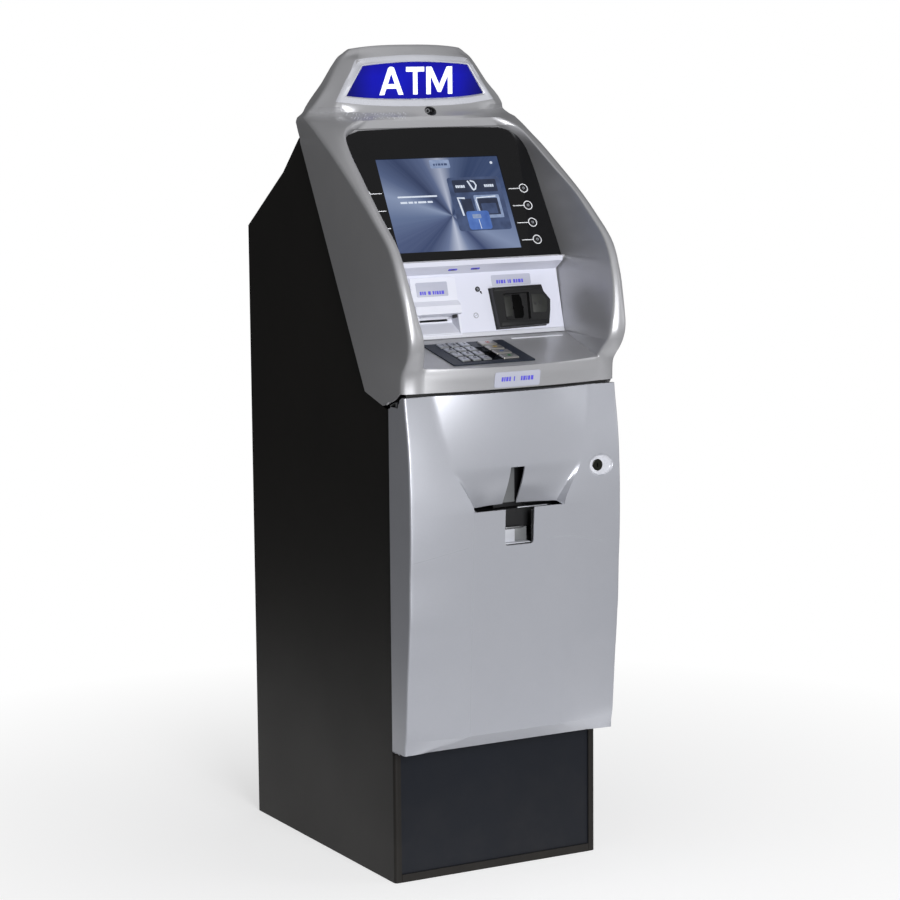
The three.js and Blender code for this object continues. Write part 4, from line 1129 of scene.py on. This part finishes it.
# ------------------------------------------------------------------------------------------------ cabinet, safe and works
for node, mat, slot_n, w in (
    ("side_panel_left", CABINET, "cabinet", 0.7), ("side_panel_right", CABINET, "cabinet", 0.7), ("rear_panel", CABINET, "cabinet", 0.5), ("top_panel", CABINET, "cabinet", 0.6),
    ("base_frame", CABINET, "cabinet", 0.5), ("kick_panel", KICK, "kick", 0.5), ("pedestal", STEEL_DARK, "inner_steel", 0.6), ("safe_body", SAFE, "safe", 0.9),
    ("safe_door", SAFE, "safe", 0.7), ("safe_handle", METAL, "bright_metal", 0.8), ("safe_dial", BLACK, "black_plastic", 0.5), ("safe_bolts", METAL, "bright_metal", 0.6),
    ("dispenser", ZINC, "inner_zinc", 0.7), ("cash_cassette", BLACK, "black_plastic", 0.9), ("computer", ZINC, "inner_zinc", 0.7), ("power_inlet", BLACK, "black_plastic", 0.4),
    ("door_hinge_lower", METAL, "bright_metal", 0.3), ("door_hinge_upper", METAL, "bright_metal", 0.25), ("hood_hinge", METAL, "bright_metal", 0.3),
    ("cash_tray", BLACK, "black_plastic", 0.4), ("door_lock", LOCKD, "lock_metal", 0.4), ("hood_lock", CHROME, "lock_metal", 0.5),
    ("display_bezel", BEZEL, "bezel_gloss", 0.5), ("lcd_module", ZINC, "inner_zinc", 0.5), ("fascia_panel", LIGHT, "light_plastic", 0.5), ("receipt_bezel", RECEIPT, "receipt_plastic", 0.5),
    ("receipt_printer", STEEL_DARK, "black_plastic", 0.5), ("card_reader_bezel", READER, "reader_plastic", 0.9), ("card_reader_body", STEEL_DARK, "black_plastic", 0.5), ("keypad_plate", PLATE, "keypad_plate", 0.35),
    ("paper_roll", PAPER, "paper", 0.3), ("camera_window", GLASS, None, 0.6), ("screen_glass", SCREEN_M, "screen", 0.3), ("sign_lens", SIGN, "sign_blue", 0.4),
):
    made(node, mat, w)

KEYS = {"key_1": "1", "key_2": "2", "key_3": "3", "key_4": "4", "key_5": "5", "key_6": "6", "key_7": "7", "key_8": "8", "key_9": "9", "key_blank_left": "", "key_0": "0", "key_blank_right": ""}
COLS, ROWS = [-79, -58.5, -38], [116, 91.2, 66.4, 41.6]
for i, (k, d) in enumerate(KEYS.items()):
    made(k, KEYM, 0.5, 3)
    cx, cz = COLS[i % 3], ROWS[i // 3]
    if d:
        glyph("mark_" + k, d, 11, SHELF, cx, cz + 0.4, -5.65, 0.16, DARK_INK, body_name(k))
    else:
        annulus("mark_" + k, cx, cz, 1.5, 2.1, SHELF, -5.72, -5.5, DARK_INK, body_name(k), 24)
for i, k in enumerate(("key_cancel", "key_clear", "key_help", "key_enter")):
    made(k, KEY_PALE, 0.5, 3)
    b = body_name(k)
    cz = ROWS[i]
    if k == "key_cancel":
        for s in (-1, 1):
            extrude("mark_cancel_%s" % ("a" if s < 0 else "b"), strip([(7.5 - 3 * s, cz - 3), (7.5 + 3 * s, cz + 3)], 1.1), SHELF, -5.72, -5.5, painted("ink_red_%d" % (s + 1), (0.42, 0.03, 0.02), (0.36, 0.02, 0.02), 0, 0.5, grain=1500, bump=0.02), 0, 1, b)
    elif k == "key_clear":
        extrude("mark_clear", [(3.5, cz), (7.5, cz - 3.2), (7.5, cz - 1), (12, cz - 1), (12, cz + 1), (7.5, cz + 1), (7.5, cz + 3.2)], SHELF, -5.72, -5.5, painted("ink_yellow", (0.5, 0.34, 0.02), (0.44, 0.3, 0.02), 0, 0.5, grain=1500, bump=0.02), 0, 1, b)
    elif k == "key_help":
        annulus("mark_help", 7.5, cz, 1.9, 3.0, SHELF, -5.72, -5.5, painted("ink_cyan", (0.03, 0.10, 0.34), (0.03, 0.09, 0.28), 0, 0.5, grain=1500, bump=0.02), b, 28)
    else:
        annulus("mark_enter", 7.5, cz, 0.2, 3.0, SHELF, -5.72, -5.5, painted("ink_green", (0.02, 0.22, 0.05), (0.02, 0.18, 0.04), 0, 0.5, grain=1500, bump=0.02), b, 28)

KEY_Z = [32.6, 65.5, 98.4, 131.4]
for i, z in enumerate(KEY_Z):
    for side, s in (("l", -1), ("r", 1)):
        k = "function_key_%s%d" % (side, 4 - i)
        made(k, FKEY, 0.7, 3)
        annulus("ring_" + k, s * 155.5, z, 7.1, 8.7, SCREEN, -0.12, 0.3, WHITE, "hood", 44)
        annulus("mark_" + k, s * 155.5, z, 1.3, 2.4, SCREEN, -0.74, -0.5, GREY_INK_AND_SHADE, body_name(k), 24)
        xa, xb = sorted((s * 146.8, s * 125.0))
        extrude("lead_" + k, [(xa, z - 0.75), (xb, z - 0.75), (xb, z + 0.75), (xa, z + 0.75)], SCREEN, -0.10, 0.3, WHITE, 0, 1, "hood")

# ------------------------------------------------------------------------------------------------ what the display shows
G0, G1 = 1.02, 1.4


def ui(name, outline, mat, lift=0.0):
    return extrude("display_" + name, outline, SCREEN, G0 - lift, G1, mat, 0, 1, "hood")


ui("panel", round_rect(8, 112, 55, 157, 5, 4), UI_DARK)
annulus("display_sun", 105, 183.5, 0.4, 2.6, SCREEN, G0 - 0.05, G1, UI_WHITE, "hood", 24)
ui("head", round_rect(17, 104, 128, 152, 2, 3), UI_DEEP, 0.05)
bars("display_head_left", 22, 137, [3, 3, 2.2, 4, 3], 5, 0.7, SCREEN, G0 - 0.12, G1, UI_WHITE, "hood")
bars("display_head_right", 79, 137, [3.4, 3, 2.4, 4, 3], 5, 0.7, SCREEN, G0 - 0.12, G1, UI_WHITE, "hood")
ui("head_icon_a", strip([(48, 150), (55, 133)], 3.2), UI_WHITE, 0.12)
ui("head_icon_b", strip([(53, 150), (60, 148), (63, 141), (60, 134), (55, 132)], 2.8), UI_WHITE, 0.14)
ui("device", round_rect(52, 103, 78, 122, 2, 3), UI_PALE, 0.05)
ui("device_slot", round_rect(58, 98, 84, 116, 1.5, 3), UI_DEEP, 0.1)
ui("device_tray", round_rect(63, 93, 86, 106, 1.5, 3), UI_DARK, 0.15)
ui("device_edge", strip([(58, 88), (55, 112), (57, 117), (96, 119)], 2.0), UI_WHITE, 0.18)
ui("left_post", strip([(24, 84), (22, 104), (20, 118), (34, 117)], 3.4), UI_WHITE, 0.1)
ui("left_shade", [(27, 84), (48, 84), (46, 116), (25, 116)], UI_DEEP, 0.05)
ui("card", round_rect(29, 74, 57, 92, 5, 5), UI_CARD, 0.2)
ui("card_chip", round_rect(40, 57, 78, 86, 1.5, 3), UI_PALE, 0.25)
ui("card_stripe", strip([(52, 58), (51, 76)], 1.2), UI_WHITE, 0.25)
ui("line_one", round_rect(-96, -19, 122.0, 125.0, 0.8, 3), UI_WHITE)
bars("display_line_two", -93, 111, [13, 9, 5, 16, 10], 3.6, 2.4, SCREEN, G0, G1, UI_WHITE, "hood")
ui("title_box", round_rect(-17, 22, 176, 192, 2, 3), UI_PALE)
bars("display_title", -11, 181, [4, 3, 5, 4, 6], 4.0, 1.4, SCREEN, G0 - 0.1, G1, UI_DARK, "hood")

# ------------------------------------------------------------------------------------------------ fascia
extrude("card_label", round_rect(57, 135, 87, 106, 2.5, 4), PANEL, -0.75, 0.3, LABEL, 0.2, 2, "hood")
bars("card_label_marks", 66, 90.5, [3.6, 2.6, 5, 3, -2, 2, 3.2, -2, 4.4, 2.8, 5.2, 3.4], 6.4, 1.3, PANEL, -0.86, -0.6, INK, "hood")
annulus("socket_ring", 27, 82.9, 2.4, 4.6, PANEL, -0.9, 0.4, BLACK, "hood", 36)
annulus("socket_inner", 27, 82.9, 0.9, 2.3, PANEL, 1.2, 2.4, METAL, "hood", 28)
extrude("socket_mark", [(31.6, 76), (35, 74.2), (34, 79), (31, 79.5)], PANEL, -0.4, 0.3, DARK_INK, 0, 1, "hood")
annulus("round_badge", 17, 37.4, 3.6, 4.9, PANEL, -0.6, 0.3, GREY_INK_AND_SHADE, "hood", 36)
extrude("round_badge_bar", strip([(14.8, 36), (19.4, 38.6)], 0.9), PANEL, -0.5, 0.3, GREY_INK_AND_SHADE, 0, 1, "hood")
extrude("receipt_label", round_rect(-94, -33, 74, 99, 2.2, 4), PANEL, -3.7, -2.8, LABEL, 0.2, 2, "hood")
bars("receipt_label_marks", -88, 77.5, [3.4, 2.6, 3.2, -2, 5, -1.5, 3, 2.2, 4, 3.2, 5], 6.0, 1.2, PANEL, -3.82, -3.6, INK, "hood")
extrude("receipt_notch", round_rect(-27.5, -21.5, 35.6, 42.6, 0.6, 2), PANEL, -3.2, 4, BLACK, 0, 1, "hood")
extrude("receipt_lip_line", [(-94, 47), (-26, 47), (-26, 48), (-94, 48)], PANEL, -12.25, -11.8, RECEIPT, 0.1, 1, "hood")
extrude("reader_left_insert", [(73, 31), (86.5, 31), (88.4, 45), (86.5, 66), (73, 67)], PANEL, -5.6, -3.8, INSERT, 0.5, 2, "hood")
# a near-black plate with almost no reflection in the card reader's opening: painted shade for the dark slot
THROAT_SHADE = painted("reader_throat_painted_shade", (0.0022, 0.0022, 0.0022), (0.0016, 0.0016, 0.0016), 0.0, 0.7, grain=900, bump=0.1, spec=0.05)
extrude("reader_throat", [(90.5, 27.5), (107, 27.5), (110.4, 34), (108.6, 62), (105, 69), (90.5, 69)], PANEL, -4.5, -3.8, THROAT_SHADE, 0.2, 2, "hood")
extrude("reader_right_insert", [(124, 34), (149, 34), (153, 40), (154, 56), (146, 66), (124, 67)], PANEL, -13.9, -12.8, INSERT, 0.6, 2, "hood")
annulus("reader_right_ring", 140, 51, 2.0, 4.2, PANEL, -14.2, -13.6, BLACK, "hood", 28)
extrude("reader_right_arrow", [(126, 50), (132, 46.5), (132, 53.5)], PANEL, -14.15, -13.6, BLACK, 0, 1, "hood")
extrude("reader_lower_lip", [(58, 14), (148, 14.6), (151, 21), (58, 21.6)], PANEL, -14.2, -12.8, READER, 0.7, 3, "hood")
extrude("reader_upper_lip", [(53, 74.5), (144, 75), (146, 80.6), (52, 79.6)], PANEL, -13.8, -12.8, READER, 0.6, 3, "hood")
ring_solid(
    "reader_gasket",
    [[tuple(PANEL @ Vector((x, y, z))) for x, z in grow([(49, 82), (148, 83), (151, 70.6), (162, 56), (159, 37.4), (153, 13.3), (54, 11.4)][::-1], d)] for d, y in ((1.3, 0.2), (1.1, -0.9), (-0.6, -0.9), (-0.6, 0.2))],
    RUBBER, "hood",
)
extrude("shelf_light_strip", round_rect(69, 172, 138.6, 142.4, 1.2, 4), SHELF, -1.5, 0.3, RIM_AND_HIGHLIGHT, 0.4, 2, "hood")
extrude("fascia_sill", [(-188.6, 0.6), (188.6, 0.6), (188.6, 8.2), (-188.6, 8.2)], PANEL, -2.4, 0.4, RIM_AND_HIGHLIGHT, 1.6, 4, "hood")
extrude("brow_strip", [(-187.5, -6.6), (187.5, -6.6), (187.5, -0.4), (-187.5, -0.4)], SCREEN, -7.0, 4.0, RIM_AND_HIGHLIGHT, 1.2, 3, "hood")

# ------------------------------------------------------------------------------------------------ sign surround and forehead
outline = spread(list(LENS) + [LENS[0]], 161)[:-1]


def dense(d):
    g = grow(LENS, d)
    return [tuple(p) for p in spread([Vector(q) for q in g] + [Vector(g[0])], 161)[:-1]]


def hood_y(x, z, miss=268.0):
    y = surf(hood, x, z)
    return miss if y is None else y


def sign_loop(d, fn):
    return [(x, fn(x, z), z) for x, z in dense(d)]


skin = {}
for d in (12.5, 11.6, 6.0, 2.2):
    skin[d] = [hood_y(x, z) for x, z in dense(d)]


def loop_on_skin(d, dy):
    return [(x, y + dy, z) for (x, z), y in zip(dense(d), skin[d])]


inner_front = [(x, min(267.4, y + 3.0), z) for (x, z), y in zip(dense(0.2), skin[2.2])]
ring_solid(
    "sign_frame",
    [
        loop_on_skin(12.5, 0.5), loop_on_skin(11.6, -0.9), loop_on_skin(6.0, -1.1), [(x, min(266.8, y - 0.8), z) for (x, z), y in zip(dense(2.2), skin[2.2])],
        inner_front, [(x, 272.0, z) for x, z in dense(-0.7)], [(x, 272.6, z) for x, z in dense(0.3)], [(x, max(min(y, 271.5), 0) + 0.9, z) for (x, z), y in zip(dense(0.3), skin[2.2])],
    ],
    RIM_AND_HIGHLIGHT, "hood", 40,
)
LETTERS = {
    "a": [(-72, 1328), (-54.2, 1374.6), (-50.8, 1376.6), (-46.4, 1376.6), (-43, 1374.6), (-25, 1328), (-34.2, 1328), (-38.4, 1338.8), (-58.6, 1338.8), (-62.8, 1328)],
    "t": [(-19, 1376), (17, 1376), (17, 1367.6), (3.4, 1367.6), (3.4, 1328), (-5.4, 1328), (-5.4, 1367.6), (-19, 1367.6)],
    "m": [(21, 1328), (21, 1376), (31.8, 1376), (47, 1345), (62.2, 1376), (73, 1376), (73, 1328), (64.2, 1328), (64.2, 1360), (50.2, 1331.6), (43.8, 1331.6), (29.8, 1360), (29.8, 1328)],
}
for k, pts in LETTERS.items():
    le = extrude("sign_letter_" + k, pts, WORLD, 266.9, 268.2, SIGN_WHITE, 0.0, 1, None)
    if k == "a":
        cut(le, cutter([(-55.4, 1346.8), (-41.6, 1346.8), (-48.5, 1365.4)], WORLD, 260, 275))
    bevel(le, 0.5, 2, 25)
    smooth(le, 38)
    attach(le, "hood")

# camera mouth: a short oval funnel from the forehead's skin to the dark window
cam_n = 44
front_e = circle(8, 1300, 11.8, cam_n, 8.0)
front_i = circle(8, 1300, 9.2, cam_n, 5.6)
ring_solid(
    "camera_surround",
    [
        [(x, hood_y(x, z, 230) + 0.3, z) for x, z in front_e],
        [(x, hood_y(x, z, 230) - 0.7, z) for x, z in circle(8, 1300, 11.2, cam_n, 7.5)],
        [(x, 230.5 + (z - 1300) * 0.75, z) for x, z in front_i],
        [(x, 240.2, z) for x, z in circle(8, 1300, 8.6, cam_n, 4.9)],
        [(x, 240.6, z) for x, z in circle(8, 1300, 10.0, cam_n, 6.4)],
    ],
    BLACK, "hood", 40,
)
annulus("camera_lens_ring", 8, 1300, 2.6, 3.9, WORLD, 239.6, 240.4, METAL, "hood", 30)

# raised dots, two rows, for touch reading; the pattern says nothing
dot_mesh = bmesh.new()
seed = [1, 3, 2, 3, 1, 2, 3, 0, 2, 1, 3, 2, 1, 3, 0, 3, 1, 2, 3, 2, 1]
for i in range(42):
    col, row = i // 2, i % 2
    if not (seed[col % len(seed)] >> row) & 1:
        continue
    for sub in (0, 1):
        x = -146 + col * 5.1 + sub * 2.3
        z = 1297.5 - row * 6.5 - sub * 1.9
        y = surf(hood, x, z)
        if y is None:
            continue
        b = bmesh.ops.create_icosphere(dot_mesh, subdivisions=2, radius=0.00095)
        for v in b["verts"]:
            v.co += P(x, y - 0.1, z)
me = bpy.data.meshes.new("tactile_dots")
dot_mesh.to_mesh(me)
dot_mesh.free()
me.materials.append(RIM_AND_HIGHLIGHT)
for p in me.polygons:
    p.use_smooth = True
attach(link(bpy.data.objects.new("tactile_dots", me)), "hood")

# ------------------------------------------------------------------------------------------------ lip label
skin_plate("lip_label", round_rect(-43, 45, 848.5, 874.5, 4, 5), hood, 0.9, 1.1, LABEL, "hood", 20, 5)
lip_marks = []
x = -30.0
for i, w in enumerate([3.4, 2.6, 4.2, 3.4, -3, 2.2, -9, 3.2, 4.6, 2.2, 4.2, 5.0]):
    if w > 0:
        skin_plate("lip_mark_%d" % i, [(x, 858.5), (x + w, 858.5), (x + w, 866), (x, 866)], hood, 1.08, 0.3, INK, "hood", 2, 2)
    x += abs(w) + 1.3

# ------------------------------------------------------------------------------------------------ money slot inside the door
def block(name, x0, x1, y0, y1, z0, z1, mat, body, bev=0.3):
    return extrude(name, [(x0, z0), (x1, z0), (x1, z1), (x0, z1)], WORLD, y0, y1, mat, bev, 2, body)


block("slot_shroud_back", -30, 30, -41.2, -39.8, 640, 735, BLACK, "door")
block("slot_shroud_left", -30, -28.6, -47, -40, 640, 735, BLACK, "door")
block("slot_shroud_right", 28.6, 30, -47, -40, 640, 735, BLACK, "door")
block("slot_flap", -13.0, 13.0, -44.4, -42.8, 648, 722, TRAY_GREY, "door", 0.4)
block("hood_seal", -194, 194, -46, -42, 838.2, 852, RUBBER, "hood", 0.5)
block("slot_light_bar", 8, 66, -63.4, -61.8, 640.4, 641.8, PLATE_LIGHT, "door", 0.3)
block("presenter_plate", -26, 2.5, -62.4, -60.8, 583, 605, PLATE_LIGHT, "door", 0.3)
block("presenter_side", 3.2, 26.4, -60.8, -58.6, 583, 607, TRAY_GREY, "door", 0.3)
block("presenter_bar", -26.4, 18, -66.2, -64.4, 606.6, 609.4, METAL, "door", 0.5)
block("presenter_sill", -26.6, 26.6, -73.8, -60, 581.7, 583.4, PLATE_LIGHT, "door", 0.4)
annulus("lock_collar", LOCK[0], LOCK[1], 9.05, 10.4, WORLD, -76.9, -73.5, CHROME, "door", 44)

# a thin grey ribbon on the door's left fold: painted shade in the crease
skin_plate("door_fold_shade_line", strip([(-88.6, 263), (-88.6, 450), (-88.6, 639)], 0.7), door, 0.10, 0.3, GREY_INK_AND_SHADE, "door", 2, 30)

# thin grey lines laid along the door's skin
for nm, pts in DOOR_LINES.items():
    skin_plate("door_line_" + nm, strip(pts, 0.9), door, 0.12, 0.3, GREY_INK_AND_SHADE, "door", 14, 8)

# two small plain blue icons on the brow under the display, where the facet leans back to the panel
slope = math.degrees(math.atan2(23.0, 16.0))
BROW = Matrix.Translation((0, 98.5, 1033)) @ Matrix.Rotation(math.radians(slope), 4, "X")
for nm, cx in (("receipt", BROW_ICONS[0]), ("card", BROW_ICONS[1])):
    extrude("brow_icon_" + nm, round_rect(cx - 8.5, cx + 8.5, -2.2, 3.2, 1.6, 4), BROW, -0.9, 0.6, INK, 0.2, 2, "hood")
    extrude("brow_icon_dark_" + nm, round_rect(cx - 4.5, cx + 3.5, -1.0, 1.6, 0.8, 3), BROW, -1.1, 0.4, DARK_INK, 0.1, 1, "hood")

# ------------------------------------------------------------------------------------------------ studio
def stage_floor():
    me = bpy.data.meshes.new("studio_floor")
    me.from_pydata([(-14, -14, 0), (14, -14, 0), (14, 14, 0), (-14, 14, 0)], [], [(0, 1, 2, 3)])
    o = link(bpy.data.objects.new("studio_floor", me))
    n = Nodes("studio_floor_paint")
    s = n.node("SeparateXYZ")
    n.link(n.co, s.inputs[0])
    r2 = n.math("ADD", n.math("MULTIPLY", s.outputs[0], s.outputs[0]), n.math("MULTIPLY", s.outputs[1], s.outputs[1]))
    far = n.range(n.math("SQRT", r2), 0.0, 1.0, 0.35, 1.5)
    # the white part is a widening strip behind the machine, so that it lights its sides little
    along = n.math("ADD", n.math("MULTIPLY", s.outputs[0], 0.4856), n.math("MULTIPLY", s.outputs[1], 0.8742))
    across = n.math("ABSOLUTE", n.math("SUBTRACT", n.math("MULTIPLY", s.outputs[0], 0.8742), n.math("MULTIPLY", s.outputs[1], 0.4856)))
    edge = n.math("SUBTRACT", n.math("ADD", n.math("MULTIPLY", along, 0.19), 1.05), across)
    strip_w = n.math("MULTIPLY", n.range(edge, 0.0, 1.0, 0.0, 0.12), n.range(along, 0.0, 1.0, -0.52, -0.41))
    n.link(n.mixc(far, n.mixc(n.noise(1.2, 3), (0.52, 0.52, 0.525), (0.56, 0.56, 0.565)), (0.0, 0.0, 0.0)), n.b.inputs["Base Color"])
    n.link(n.mixc(strip_w, (0.08, 0.08, 0.08), n.mixc(far, (0.60, 0.60, 0.60), (1.0, 1.0, 1.0))), n.b.inputs["Emission Color"])
    n.set(Roughness=1.0, Emission_Strength=1.0, Specular_IOR_Level=0.0)
    me.materials.append(n.m)


stage_floor()

world = bpy.data.worlds.new("studio")
bpy.context.scene.world = world
world.use_nodes = True
wn = world.node_tree
wn.nodes.clear()
wo = wn.nodes.new("ShaderNodeOutputWorld")
bg = wn.nodes.new("ShaderNodeBackground")
# White in the part of the sky that stands behind the machine, a soft grey studio elsewhere.
tc = wn.nodes.new("ShaderNodeTexCoord")
dot = wn.nodes.new("ShaderNodeVectorMath")
dot.operation = "DOT_PRODUCT"
dot.inputs[1].default_value = Vector((0.4805, 0.8650, -0.1448)).normalized()
wn.links.new(tc.outputs["Generated"], dot.inputs[0])
back = wn.nodes.new("ShaderNodeMapRange")
back.inputs["From Min"].default_value = 0.955
back.inputs["From Max"].default_value = 0.970
wn.links.new(dot.outputs["Value"], back.inputs["Value"])
sep = wn.nodes.new("ShaderNodeSeparateXYZ")
wn.links.new(tc.outputs["Generated"], sep.inputs[0])
front = wn.nodes.new("ShaderNodeMapRange")  # brighter in front of the machine than behind or beside it
front.inputs["From Min"].default_value = 0.5
front.inputs["From Max"].default_value = -1.0
front.inputs["To Min"].default_value = 0.10
front.inputs["To Max"].default_value = 0.25
wn.links.new(sep.outputs[1], front.inputs["Value"])
tot = wn.nodes.new("ShaderNodeMix")
tot.data_type = "FLOAT"
wn.links.new(back.outputs[0], tot.inputs[0])
wn.links.new(front.outputs[0], tot.inputs[2])
tot.inputs[3].default_value = 1.0
bg.inputs["Color"].default_value = (1.0, 1.0, 1.0, 1)
wn.links.new(tot.outputs[0], bg.inputs["Strength"])
wn.links.new(bg.outputs[0], wo.inputs[0])


def area(name, loc, target, size, energy, color=(1, 1, 1), size_y=None):
    li = bpy.data.lights.new(name, "AREA")
    li.energy = energy
    li.color = color
    li.size = size
    if size_y:
        li.shape = "RECTANGLE"
        li.size_y = size_y
    o = link(bpy.data.objects.new(name, li))
    o.location = loc
    o.rotation_euler = (Vector(target) - Vector(loc)).to_track_quat("-Z", "Y").to_euler()
    return o


area("key_front", (-0.7, -4.6, 1.5), (0, 0, 0.85), 1.9, 212, (0.985, 0.99, 1.0), 2.4)
area("fill_right", (3.4, -2.6, 1.7), (0, 0, 0.9), 1.4, 16, (0.97, 0.98, 1.0), 2.2)
area("top_soft", (0.2, -0.4, 3.8), (0, 0, 1.0), 2.2, 7, (1, 1, 1), 2.0)
area("rear_rim", (-2.4, 2.8, 2.4), (0, 0.2, 0.9), 1.4, 2, (0.95, 0.97, 1.0), 2.0)

cam = bpy.data.cameras.new("photo_camera")
cam.lens = 36 * 2837.29 / 900
cam.sensor_width = 36
cam.clip_end = 60
camo = link(bpy.data.objects.new("photo_camera", cam))
fwd = Vector((0.4805, 0.8650, -0.1448)).normalized()
right = fwd.cross(Vector((0, 0, 1))).normalized()
up = right.cross(fwd)
r = math.radians(-0.5)
R = math.cos(r) * right + math.sin(r) * up
U = -math.sin(r) * right + math.cos(r) * up
M = Matrix((R, U, -fwd)).transposed().to_4x4()
M.translation = Vector((-2.3840, -4.1361 - YC / 1000, 1.4309))
camo.matrix_world = M
bpy.context.scene.camera = camo
bpy.context.scene.view_settings.view_transform = "Standard"
